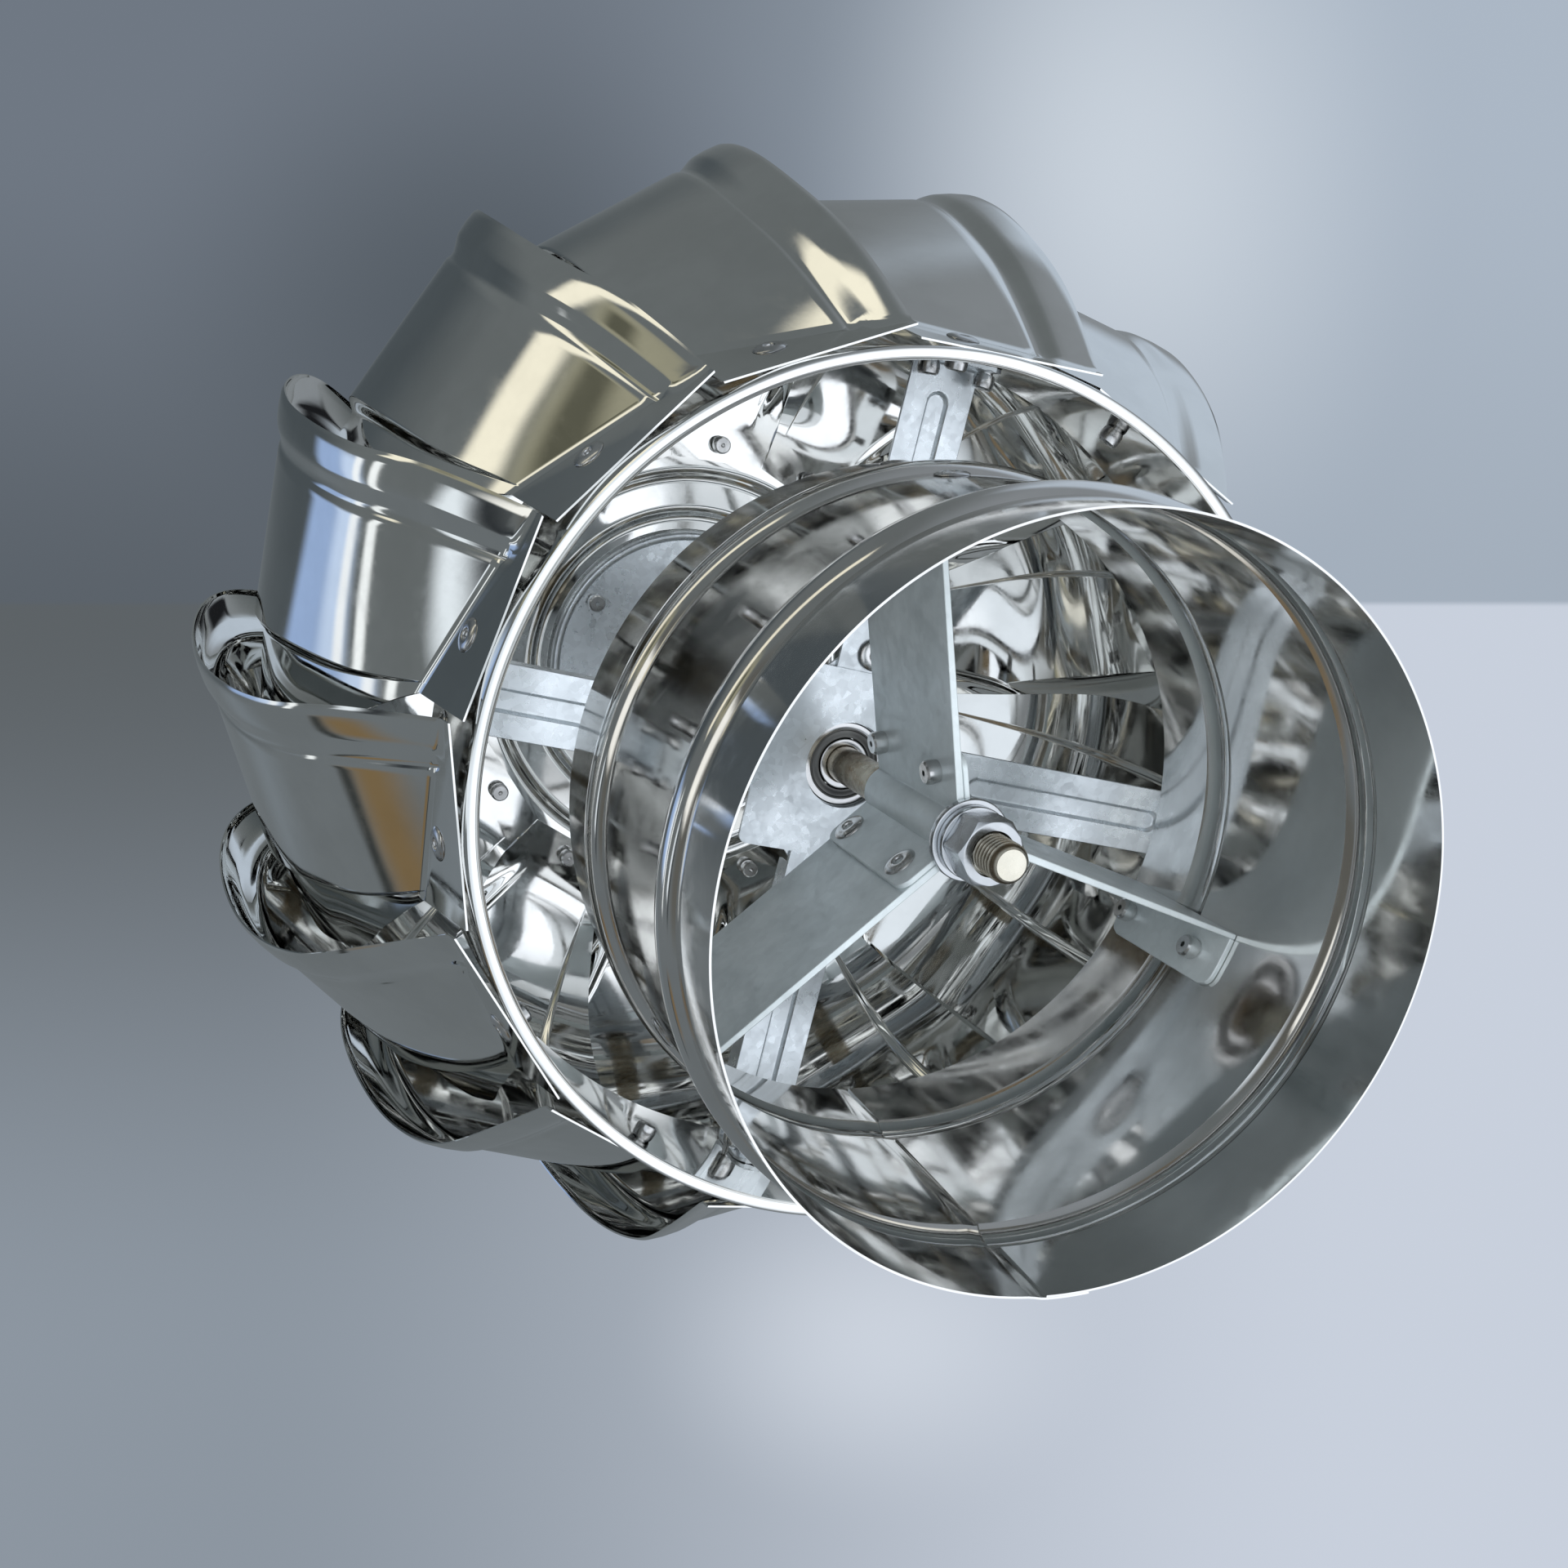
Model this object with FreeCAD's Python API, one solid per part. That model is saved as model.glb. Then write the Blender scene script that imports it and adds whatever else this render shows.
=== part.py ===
import FreeCAD, Part
import math
import os

# Rotating chimney cowl for a round flue pipe, in millimetres.
# The frame stands on the open rim of the duct collar: z is 0 there and +Z runs up the
# shaft. The collar, its three straps and the shaft stand still. The head turns about Z.

V = FreeCAD.Vector
Z_AXIS = V(0, 0, 1)

# Stock and play
SHEET = 0.6              # stainless sheet of the collar, ring, blades and cap
GALV = 1.2               # galvanised sheet of the arms and plates
STRAP = 1.8              # galvanised flat of the straps
TOUCH = 0.05             # play between pieces that lie against each other
RUNNING = 0.3            # play between pieces that turn past each other

# Duct collar
COLLAR_R = 100.0         # outside radius
COLLAR_H = 135.0
BEAD_OUT = 3.0           # how far a swaged bead stands out
BEAD_W = 13.5
BEAD_LOW_Z = 33.0
BEAD_TOP_Z = 103.0
LAP_AZ = 91.5            # azimuth of the lap seam
LAP_W = 12.0             # overlap of the sheet at the seam
COLLAR_IN = COLLAR_R - SHEET

# Shaft and its hardware
SHAFT_R = 6.0
SHAFT_LOW_Z = 48.6
SHAFT_CHAMFER = 1.2
WASHER_R = 12.0
WASHER_T = 2.5
SPRING_R = 10.5
SPRING_T = 3.0
SPRING_SLOT = 2.0
NUT_FLATS = 18.0
NUT_H = 10.8
CIRCLIP_R = 8.6
CIRCLIP_T = 1.0

# Straps from the shaft to the collar
STRAP_AZ = (-100.6, 19.4, 139.4)
STRAP_LOW_Z = 76.0
STRAP_H = 57.0
FOOT_W = 17.0            # foot bent along the collar wall
FLANGE_OUT = 24.0        # reach of the flange that lies on the next strap
CORNER_R = 4.5
STRAP_TOP_Z = STRAP_LOW_Z + STRAP_H
SLEEVE_IN = SHAFT_R + TOUCH
SLEEVE_OUT = SLEEVE_IN + STRAP

# Rivets, all of one size
RIVET_R = 2.4
RIVET_HEAD_R = 4.75
RIVET_HEAD_H = 1.1
RIVET_TAIL_R = 3.6
RIVET_TAIL_H = 5.0
RIVET_HOLE_R = RIVET_R + TOUCH
HUB_RIVET_R = 17.5       # distance of the strap rivets from the axis
HUB_RIVET_LOW = 12.0     # above the strap's lower edge
HUB_RIVET_TOP = 6.5      # below the strap's upper edge
FOOT_RIVET_LOW = 13.0
FOOT_RIVET_TOP = 6.0

# Bearings
BEARING_R = 14.0
BEARING_W = 8.0
BEARING_INNER_R = 8.4    # outside of the inner race
BEARING_OUTER_WALL = 2.4
SEAL_T = 0.6

# Rotor ring
RING_R = 134.0           # outside radius
RING_LOW_Z = 114.0
RING_TOP_Z = 178.0
HEM_IN = 4.0             # hem turned in under the ring
RING_IN = RING_R - SHEET

# Spider of four arms with a plate below and above
ARM_COUNT = 4
ARM_AZ = -80.3
ARM_Z = 168.0            # underside of the arms
ARM_W = 23.0
ARM_START_R = 17.5
ARM_FLANGE_H = 8.0
ARM_TAB_H = 20.0
ARM_RIB_W = 7.5
ARM_RIB_H = 1.5
ARM_RIB_MARGIN = 10.0
ARM_RIVET_AZ = 4.3       # rivets of the end tab, each side of the arm's middle
ARM_RIVET_Z = 160.0
HUB_PLATE = 62.0         # side of the two square plates
HUB_PLATE_CORNER = 3.0
HUB_PLATE_RIVET_R = 37.0
CUP_LIP = 2.6            # lip that holds the bearing in its cup
HUB_CORNER_R = HUB_PLATE_RIVET_R + RIVET_HEAD_R + HUB_PLATE_CORNER

# Blades
BLADE_COUNT = 14
BLADE_AZ = -42.5         # azimuth of the first blade's lower corner
BLADE_PITCH = 360.0 / BLADE_COUNT
BLADE_GAP = 0.5          # degrees between two tabs side by side
TAB_LOW_Z = 122.0
CREASE_LOW_Z = 128.0
CREASE_TOP_Z = 158.0
BLADE_RIVET_AZ = 16.2
BLADE_RIVET_Z = 140.0
HEAD_R = 200.0           # widest circle of the head
HEAD_WIDE_Z = 270.0
BLADE_LEAN = 4.8         # degrees that the body leans back from its lower corner
BLADE_SPAN = 32.0        # degrees covered by the body, flange included
BEAD_H = 1.6             # bead pressed beside the free edge
GUTTER = 23.0            # how far the tucked edge lies inside the free edge
TAB_IN_R = 86.0          # straight inner end of the upper tab
TAB_OUT_R = 104.0
TAB_TOP_Z = 347.0
TOP_RIVET_R = 93.0
TAB_SPAN = BLADE_PITCH - BLADE_GAP

# Cap and upper bearing carrier
CAP_R = 100.0
CAP_STEP_H = 3.5
CAP_STEPS = (82.0, 66.0)
CARRIER_R = 57.0
CARRIER_BEAD_R = 2.0
CARRIER_RIVET_R = 47.0
CARRIER_RIVETS = 4
CARRIER_RIVET_AZ = -147.0
CAP_Z = TAB_TOP_Z + TOUCH
CROWN_Z = CAP_Z + 2 * CAP_STEP_H
CARRIER_Z = CROWN_Z - TOUCH
LOW_BEARING_Z = ARM_Z + GALV + TOUCH
TOP_BEARING_Z = CARRIER_Z - GALV - BEARING_W - TOUCH
SHAFT_TOP_Z = CARRIER_Z - GALV


def polar(radius, azimuth, z=0.0):
    angle = math.radians(azimuth)
    return V(radius * math.cos(angle), radius * math.sin(angle), z)


def turned(shape, azimuth):
    copy = shape.copy()
    copy.rotate(V(0, 0, 0), Z_AXIS, azimuth)
    return copy


def polygon_face(points):
    return Part.Face(Part.makePolygon(points + [points[0]]))


def revolved(section, sweep=360.0, start=0.0):
    """Turn a closed section of (radius, z) pairs about Z."""
    face = polygon_face([V(r, 0, z) for r, z in section])
    return turned(face.revolve(V(0, 0, 0), Z_AXIS, sweep), start)


def extruded(outline, z_low, height):
    """A flat outline of (x, y) pairs, raised by a height."""
    return polygon_face([V(x, y, z_low) for x, y in outline]).extrude(V(0, 0, height))


def tube(r_in, r_out, z_low, height):
    outer = Part.makeCylinder(r_out, height, V(0, 0, z_low))
    return outer.cut(Part.makeCylinder(r_in, height, V(0, 0, z_low)))


def radial_hole(azimuth, z, r_from, r_to):
    direction = polar(1, azimuth)
    return Part.makeCylinder(RIVET_HOLE_R, r_to - r_from, polar(r_from, azimuth, z), direction)


def rivet(seat, direction, grip):
    """A blind rivet: its head stands on the seat, and direction runs from head to tail."""
    head = Part.makeCone(
        RIVET_HEAD_R, RIVET_HEAD_R - RIVET_HEAD_H, RIVET_HEAD_H, seat, direction * -1
    )
    shank = Part.makeCylinder(RIVET_R, grip, seat, direction)
    tail = Part.makeCylinder(RIVET_TAIL_R, RIVET_TAIL_H, seat + direction * grip, direction)
    return head.fuse([shank, tail])


def rounded(shape, radius, wanted):
    """Round the edges whose middle the test picks."""
    edges = [e for e in shape.Edges if wanted(e.CenterOfMass, e)]
    return shape.makeFillet(radius, edges)


def write(name, shape):
    shape.exportStep(os.path.join("parts", name + ".step"))


def write_group(name, solids):
    write(name, Part.makeCompound(solids))


# Collar

def wall_section(outside):
    """Section of the collar wall with its two beads, from the open rim up."""
    inside = outside - SHEET
    half = BEAD_W / 2
    points = [V(inside, 0, 0), V(outside, 0, 0)]
    edges = [Part.LineSegment(*points)]
    last = points[1]
    for bead in (BEAD_LOW_Z, BEAD_TOP_Z):
        foot = V(outside, 0, bead - half)
        end = V(outside, 0, bead + half)
        edges.append(Part.LineSegment(last, foot))
        edges.append(Part.Arc(foot, V(outside + BEAD_OUT, 0, bead), end))
        last = end
    top = V(outside, 0, COLLAR_H)
    top_in = V(inside, 0, COLLAR_H)
    edges.append(Part.LineSegment(last, top))
    edges.append(Part.LineSegment(top, top_in))
    last = top_in
    for bead in (BEAD_TOP_Z, BEAD_LOW_Z):
        foot = V(inside, 0, bead + half)
        end = V(inside, 0, bead - half)
        edges.append(Part.LineSegment(last, foot))
        edges.append(Part.Arc(foot, V(inside + BEAD_OUT, 0, bead), end))
        last = end
    edges.append(Part.LineSegment(last, points[0]))
    return Part.Face(Part.Wire([e.toShape() for e in edges]))


def foot_rivet_places():
    foot_middle = math.degrees(FOOT_W / 2 / COLLAR_IN)
    heights = (STRAP_LOW_Z + FOOT_RIVET_LOW, STRAP_TOP_Z - FOOT_RIVET_TOP)
    return [(az + foot_middle, z) for az in STRAP_AZ for z in heights]


def duct_collar():
    wall = wall_section(COLLAR_R).revolve(V(0, 0, 0), Z_AXIS, 360)
    lap_angle = math.degrees(LAP_W / COLLAR_R)
    lap = wall_section(COLLAR_R + SHEET).revolve(V(0, 0, 0), Z_AXIS, lap_angle)
    collar = wall.fuse(turned(lap, LAP_AZ - lap_angle))
    for azimuth, z in foot_rivet_places():
        collar = collar.cut(radial_hole(azimuth, z, COLLAR_IN - STRAP, COLLAR_R + BEAD_OUT))
    return collar


# Straps

def hub_rivet_heights():
    return (STRAP_LOW_Z + HUB_RIVET_LOW, STRAP_TOP_Z - HUB_RIVET_TOP)


def strap():
    """One strap along +X: a web, a third of the sleeve, the flange and the foot."""
    foot_out = COLLAR_IN - TOUCH
    foot_in = foot_out - STRAP
    foot_angle = math.degrees(FOOT_W / COLLAR_IN)
    web_end = math.sqrt(foot_out ** 2 - STRAP ** 2)
    web_points = [(SHAFT_R, -STRAP), (web_end, -STRAP), (web_end, 0), (SHAFT_R, 0)]
    web = extruded(web_points, STRAP_LOW_Z, STRAP_H)
    sleeve_box = [(SLEEVE_IN, STRAP_LOW_Z), (SLEEVE_OUT, STRAP_LOW_Z)]
    sleeve_box += [(SLEEVE_OUT, STRAP_TOP_Z), (SLEEVE_IN, STRAP_TOP_Z)]
    sleeve = revolved(sleeve_box, 120, -120)
    flange_points = [(SHAFT_R, TOUCH), (FLANGE_OUT, TOUCH), (FLANGE_OUT, STRAP), (SHAFT_R, STRAP)]
    flange = extruded(flange_points, STRAP_LOW_Z, STRAP_H)
    flange = rounded(
        flange, CORNER_R, lambda c, e: abs(c.x - FLANGE_OUT) < 0.1 and abs(e.Length - STRAP) < 0.1
    )
    foot_box = [(foot_in, STRAP_LOW_Z), (foot_out, STRAP_LOW_Z)]
    foot_box += [(foot_out, STRAP_TOP_Z), (foot_in, STRAP_TOP_Z)]
    foot = revolved(foot_box, foot_angle)
    foot = rounded(
        foot, CORNER_R, lambda c, e: abs(e.Length - STRAP) < 0.1 and c.y > FOOT_W / 2
    )
    body = web.fuse([sleeve, turned(flange, -120), foot])
    body = body.cut(Part.makeCylinder(SLEEVE_IN, STRAP_H, V(0, 0, STRAP_LOW_Z)))
    for z in hub_rivet_heights():
        through_web = Part.makeCylinder(
            RIVET_HOLE_R, 2 * STRAP, V(HUB_RIVET_R, -STRAP, z), V(0, 1, 0)
        )
        body = body.cut(through_web.fuse(turned(through_web, -120)))
    foot_middle = foot_angle / 2
    for z in (STRAP_LOW_Z + FOOT_RIVET_LOW, STRAP_TOP_Z - FOOT_RIVET_TOP):
        body = body.cut(radial_hole(foot_middle, z, foot_in - STRAP, COLLAR_R))
    return body.removeSplitter()


def strap_hub_rivets():
    rivets = []
    for azimuth in STRAP_AZ:
        for z in hub_rivet_heights():
            one = rivet(V(HUB_RIVET_R, STRAP + TOUCH, z), V(0, -1, 0), 2 * (STRAP + TOUCH))
            rivets.append(turned(one, azimuth))
    return rivets


def strap_foot_rivets():
    grip = SHEET + STRAP + 5 * TOUCH
    return [
        rivet(polar(COLLAR_R + TOUCH, az, z), polar(-1, az), grip)
        for az, z in foot_rivet_places()
    ]


# Shaft and hardware

def shaft():
    c = SHAFT_CHAMFER
    r = SHAFT_R
    return revolved(
        [(0, SHAFT_LOW_Z), (r - c, SHAFT_LOW_Z), (r, SHAFT_LOW_Z + c), (r, SHAFT_TOP_Z - c),
         (r - c, SHAFT_TOP_Z), (0, SHAFT_TOP_Z)]
    )


def spring_washer(z_top):
    ring = tube(SHAFT_R + TOUCH, SPRING_R, z_top - SPRING_T, SPRING_T)
    slot = Part.makeBox(
        SPRING_R, SPRING_SLOT, SPRING_T, V(0, -SPRING_SLOT / 2, z_top - SPRING_T)
    )
    return ring.cut(slot)


def hex_nut(z_top):
    corner = NUT_FLATS / 2 / math.cos(math.radians(30))
    outline = [tuple(polar(corner, 60 * n))[:2] for n in range(6)]
    body = extruded(outline, z_top - NUT_H, NUT_H)
    rim = NUT_FLATS / 2
    skirt = (corner - rim) * 0.6
    turned_blank = revolved(
        [(0, z_top - NUT_H), (rim, z_top - NUT_H), (corner, z_top - NUT_H + skirt),
         (corner, z_top - skirt), (rim, z_top), (0, z_top)]
    )
    body = body.common(turned_blank)
    return body.cut(Part.makeCylinder(SHAFT_R + TOUCH, NUT_H, V(0, 0, z_top - NUT_H)))


# Bearings

def inner_race(z_low):
    return tube(SHAFT_R + TOUCH, BEARING_INNER_R, z_low, BEARING_W)


def outer_race(z_low):
    """Outer race with the two seals pressed into it."""
    wall = BEARING_R - TOUCH - BEARING_OUTER_WALL
    seal_in = BEARING_INNER_R + RUNNING
    r = BEARING_R - TOUCH
    z_top = z_low + BEARING_W
    return revolved(
        [(seal_in, z_low), (r, z_low), (r, z_top), (seal_in, z_top), (seal_in, z_top - SEAL_T),
         (wall, z_top - SEAL_T), (wall, z_low + SEAL_T), (seal_in, z_low + SEAL_T)]
    )


# Spider

def arm_azimuths():
    return [ARM_AZ + 360.0 / ARM_COUNT * n for n in range(ARM_COUNT)]


def spider_arm():
    """One arm along +X, with its rib, its side flange and the tab bent down at its end."""
    half = ARM_W / 2
    reach = math.sqrt((RING_IN - TOUCH) ** 2 - half ** 2)
    web = Part.makeBox(reach - ARM_START_R, ARM_W, GALV, V(ARM_START_R, -half, ARM_Z))
    side_start = HUB_CORNER_R - half + 2 * GALV
    side = Part.makeBox(
        reach - ARM_RIB_MARGIN - side_start, GALV, ARM_FLANGE_H, V(side_start, half - GALV, ARM_Z)
    )
    tab = Part.makeBox(GALV, ARM_W, ARM_TAB_H, V(reach - GALV, -half, ARM_Z - ARM_TAB_H + GALV))
    tab = rounded(
        tab, CORNER_R, lambda c, e: c.z < ARM_Z - ARM_TAB_H / 2 and abs(e.Length - GALV) < 0.1
        and abs(c.y) > half - 0.1
    )
    rib_start = HUB_PLATE / 2 + ARM_RIB_MARGIN + RIVET_HEAD_R
    rib_end = reach - ARM_RIB_MARGIN
    rib = rib_bar(rib_start, rib_end, ARM_RIB_W / 2, ARM_Z, ARM_RIB_H + GALV)
    hollow = rib_bar(rib_start + GALV, rib_end - GALV, ARM_RIB_W / 2 - GALV, ARM_Z, ARM_RIB_H)
    arm = web.fuse([side, tab, rib]).cut(hollow)
    arm = arm.cut(
        Part.makeCylinder(RIVET_HOLE_R, 3 * GALV, V(HUB_PLATE_RIVET_R, 0, ARM_Z - GALV))
    )
    for shift in (-ARM_RIVET_AZ, ARM_RIVET_AZ):
        arm = arm.cut(radial_hole(shift, ARM_RIVET_Z, reach - 5 * GALV, RING_R))
    return arm.removeSplitter()


def rib_bar(x_from, x_to, half, z_low, height):
    """A bar with round ends, along X."""
    bar = Part.makeBox(x_to - x_from - 2 * half, 2 * half, height, V(x_from + half, -half, z_low))
    ends = [Part.makeCylinder(half, height, V(x, 0, z_low)) for x in (x_from + half, x_to - half)]
    return bar.fuse(ends)


def square_plate(z_low, side, corner):
    half = side / 2
    plate = Part.makeBox(side, side, GALV, V(-half, -half, z_low))
    return rounded(plate, corner, lambda c, e: abs(abs(c.x) - half) < 0.1
                   and abs(abs(c.y) - half) < 0.1)


def hub_plate_lower():
    """Square across the arms, open in the middle so that the bearing's face shows."""
    plate = turned(square_plate(ARM_Z - TOUCH - GALV, HUB_PLATE, HUB_PLATE_CORNER), ARM_AZ)
    opening = Part.makeCylinder(BEARING_R + RUNNING, 3 * GALV, V(0, 0, ARM_Z - 2 * GALV))
    return plate.cut(opening)


def hub_plate_upper():
    """Square with its corners on the arms, and a cup drawn up round the bearing."""
    z = ARM_Z + GALV + TOUCH
    plate = turned(square_plate(z, HUB_CORNER_R * math.sqrt(2), HUB_PLATE_CORNER), ARM_AZ + 45)
    cup_top = LOW_BEARING_Z + BEARING_W + TOUCH
    wall_in = BEARING_R
    wall_out = BEARING_R + GALV
    lip_in = BEARING_R - CUP_LIP
    cup = revolved(
        [(wall_in, z), (wall_out, z), (wall_out, cup_top + GALV), (lip_in, cup_top + GALV),
         (lip_in, cup_top), (wall_in, cup_top)]
    )
    plate = plate.cut(Part.makeCylinder(wall_in, 3 * GALV, V(0, 0, z - GALV))).fuse(cup)
    for azimuth in arm_azimuths():
        place = polar(HUB_PLATE_RIVET_R, azimuth, z - GALV)
        plate = plate.cut(Part.makeCylinder(RIVET_HOLE_R, 3 * GALV, place))
    return plate.removeSplitter()


def hub_plate_rivets():
    grip = 2 * GALV + 2 * TOUCH
    return [
        rivet(polar(HUB_PLATE_RIVET_R, az, ARM_Z - TOUCH), Z_AXIS, grip) for az in arm_azimuths()
    ]


def arm_ring_rivets():
    half = ARM_W / 2
    reach = math.sqrt((RING_IN - TOUCH) ** 2 - half ** 2)
    grip = RING_R - reach + GALV + 2 * TOUCH
    rivets = []
    for azimuth in arm_azimuths():
        for shift in (-ARM_RIVET_AZ, ARM_RIVET_AZ):
            az = azimuth + shift
            rivets.append(rivet(polar(RING_R + TOUCH, az, ARM_RIVET_Z), polar(-1, az), grip))
    return rivets


# Rotor ring

def blade_corner_azimuths():
    return [BLADE_AZ - BLADE_PITCH * n for n in range(BLADE_COUNT)]


def lower_ring():
    """A plain band whose lower edge is turned in as a hem."""
    hem_in = RING_R - HEM_IN
    ring = revolved(
        [(hem_in, RING_LOW_Z), (RING_R - SHEET, RING_LOW_Z), (RING_R, RING_LOW_Z + SHEET),
         (RING_R, RING_TOP_Z), (RING_IN, RING_TOP_Z), (RING_IN, RING_LOW_Z + 3 * SHEET),
         (hem_in, RING_LOW_Z + 3 * SHEET)]
    )
    cutters = []
    for azimuth in arm_azimuths():
        for shift in (-ARM_RIVET_AZ, ARM_RIVET_AZ):
            cutters.append(radial_hole(azimuth + shift, ARM_RIVET_Z, RING_IN - HEM_IN, RING_R + 2))
    for azimuth in blade_corner_azimuths():
        cutters.append(
            radial_hole(azimuth - BLADE_RIVET_AZ, BLADE_RIVET_Z, RING_IN - HEM_IN, RING_R + 2)
        )
    return ring.cut(cutters)


# Blades

# Section of a blade from its free edge to its tucked edge. The bead beside the free edge has
# one width all along: distance from the edge in mm, and share of the bead's height.
BEAD_SECTION = ((0.0, 0.0), (3.0, 1.0), (8.5, 1.0), (12.0, 0.0))
BEAD_SHARE = 0.2         # most of the span that the bead may take
# The rest: share of the span, and share of the way in towards the tucked edge.
FACE_SECTION = ((0.25, 0.10), (0.40, 0.23), (0.54, 0.38), (0.66, 0.54), (0.70, 0.76),
                (0.86, 0.89), (1.0, 1.0))
# Side views of the two edges: shares of the way out and up, from the crease to the widest
# circle and from there to the upper tab, and the rise with which each sets off.
FREE_LOWER = ((0.515, 0.282), (0.866, 0.627))
FREE_UPPER = ((0.104, 0.597), (0.385, 0.883), (0.729, 0.981))
FREE_RISE = 1.15
TUCKED_LOWER = ((0.754, 0.509),)
TUCKED_UPPER = ((0.247, 0.675), (0.699, 0.922))
TUCKED_RISE = 1.6
BLADE_STATIONS = (0.06, 0.14, 0.24, 0.36, 0.48, 0.60, 0.72, 0.84, 0.94)
TAB_FACE_R = RING_R + TOUCH + SHEET
CORNER_OUT_R = TAB_FACE_R / math.cos(math.radians(BLADE_RIVET_AZ))
TAB_END_R = TAB_FACE_R / math.cos(math.radians(TAB_SPAN - BLADE_RIVET_AZ))


def meridian(points, rise):
    """Side view through the points: it sets off with this rise and ends level."""
    curve = Part.BSplineCurve()
    curve.interpolate(
        Points=[V(r, 0, z) for r, z in points],
        InitialTangent=V(1, 0, rise),
        FinalTangent=V(-1, 0, 0),
    )
    return curve


def between(start, end, shares):
    """Points on the way from one (radius, z) to another, each with its share out and up."""
    (r_start, z_start), (r_end, z_end) = start, end
    return [
        (r_start + (r_end - r_start) * out, z_start + (z_end - z_start) * up) for out, up in shares
    ]


def side_view(start, widest, lower, upper, rise):
    """From the crease out to the widest circle and from there in to the upper tab."""
    top = (TAB_OUT_R, TAB_TOP_Z)
    points = [start] + between(start, widest, lower)
    points += [widest] + between(widest, top, upper) + [top]
    return meridian(points, rise)


def free_meridian():
    """Side view of the blade's free edge, from its lower corner to the upper tab."""
    start = (CORNER_OUT_R, CREASE_LOW_Z)
    return side_view(start, (HEAD_R, HEAD_WIDE_Z), FREE_LOWER, FREE_UPPER, FREE_RISE)


def tucked_meridian():
    """Side view of the edge that lies under the next blade."""
    start = (TAB_END_R, CREASE_TOP_Z)
    widest = (HEAD_R - GUTTER, HEAD_WIDE_Z)
    return side_view(start, widest, TUCKED_LOWER, TUCKED_UPPER, TUCKED_RISE)


def along(curve, share):
    """Point and outward normal of a side view at a share of its length."""
    first, last = curve.FirstParameter, curve.LastParameter
    at = first + (last - first) * share
    point = curve.value(at)
    tangent = curve.tangent(at)[0]
    return point, V(tangent.z, 0, -tangent.x)


def ease(share):
    share = min(max(share, 0.0), 1.0)
    return share * share * (3 - 2 * share)


def blade_start(share):
    """Degrees from the lower corner's azimuth to the free edge."""
    return BLADE_LEAN * ease(share / 0.5)


def blade_span(share):
    """Degrees covered by the body: as wide as the tabs at both ends."""
    up = ease(share / 0.25)
    down = ease((1 - share) / 0.25)
    return TAB_SPAN + (BLADE_SPAN - TAB_SPAN) * min(up, down)


def section_at(radius, span):
    """Rows of share across, share of the way in and bead height, at a radius and a span."""
    width = radius * math.radians(span)
    narrowed = min(1.0, BEAD_SHARE * width / BEAD_SECTION[-1][0])
    rows = [(distance * narrowed / width, 0.0, height) for distance, height in BEAD_SECTION]
    return rows + [(across, way_in, 0.0) for across, way_in in FACE_SECTION]


def blade_station(share, free, tucked):
    """The outer and the inner row of points of one section, as (radius, azimuth, z)."""
    outer, inner = [], []
    point_free, normal_free = along(free, share)
    point_tucked, normal_tucked = along(tucked, share)
    span = blade_span(share)
    for across, way_in, bead in section_at(point_free.x, span):
        point = point_free * (1 - way_in) + point_tucked * way_in
        normal = normal_free * (1 - way_in) + normal_tucked * way_in
        normal.normalize()
        out = point + normal * (BEAD_H * bead * ease((1 - share) / 0.15))
        back = out - normal * SHEET
        azimuth = -(blade_start(share) + span * across)
        outer.append(V(out.x, azimuth, out.z))
        inner.append(V(back.x, azimuth, back.z))
    return outer, inner


def tab_station(level):
    """Rows on the flat lower tab, along the crease or, when level is given, at that height."""
    to_corner = TAB_FACE_R * math.tan(math.radians(BLADE_RIVET_AZ))
    to_end = TAB_FACE_R * math.tan(math.radians(TAB_SPAN - BLADE_RIVET_AZ))
    slope = (CREASE_TOP_Z - CREASE_LOW_Z) / (to_corner + to_end)
    rows = []
    for face in (TAB_FACE_R, TAB_FACE_R - SHEET):
        row = []
        for across, _, _ in section_at(CORNER_OUT_R, TAB_SPAN):
            turn = math.radians(BLADE_RIVET_AZ - TAB_SPAN * across)
            from_corner = to_corner - face * math.tan(turn)
            z = CREASE_LOW_Z + slope * from_corner
            row.append(V(face / math.cos(turn), -TAB_SPAN * across, z if level is None else level))
        rows.append(row)
    return rows


def top_station():
    """The straight line where the body runs into the upper tab."""
    middle = BLADE_LEAN + TAB_SPAN / 2
    rows = []
    for z in (TAB_TOP_Z, TAB_TOP_Z - SHEET):
        row = []
        for across, _, _ in section_at(TAB_OUT_R, TAB_SPAN):
            azimuth = BLADE_LEAN + TAB_SPAN * across
            radius = TAB_OUT_R * math.cos(math.radians(TAB_SPAN / 2))
            radius = radius / math.cos(math.radians(azimuth - middle))
            row.append(V(radius, -azimuth, z))
        rows.append(row)
    return rows


def shifted(rows, target, base, weight):
    """Move rows by a share of the difference between two other pairs of rows."""
    return [
        [point + (goal - start) * weight for point, goal, start in zip(row, goals, starts)]
        for row, goals, starts in zip(rows, target, base)
    ]


def blade_sections():
    """Every section of the body, from the crease to the upper tab."""
    free, tucked = free_meridian(), tucked_meridian()
    crease, top = tab_station(None), top_station()
    first, last = blade_station(0.0, free, tucked), blade_station(1.0, free, tucked)
    sections = [crease]
    for share in BLADE_STATIONS:
        rows = blade_station(share, free, tucked)
        rows = shifted(rows, crease, first, 1 - ease(share / 0.16))
        rows = shifted(rows, top, last, 1 - ease((1 - share) / 0.12))
        sections.append(rows)
    return sections + [top]


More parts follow.
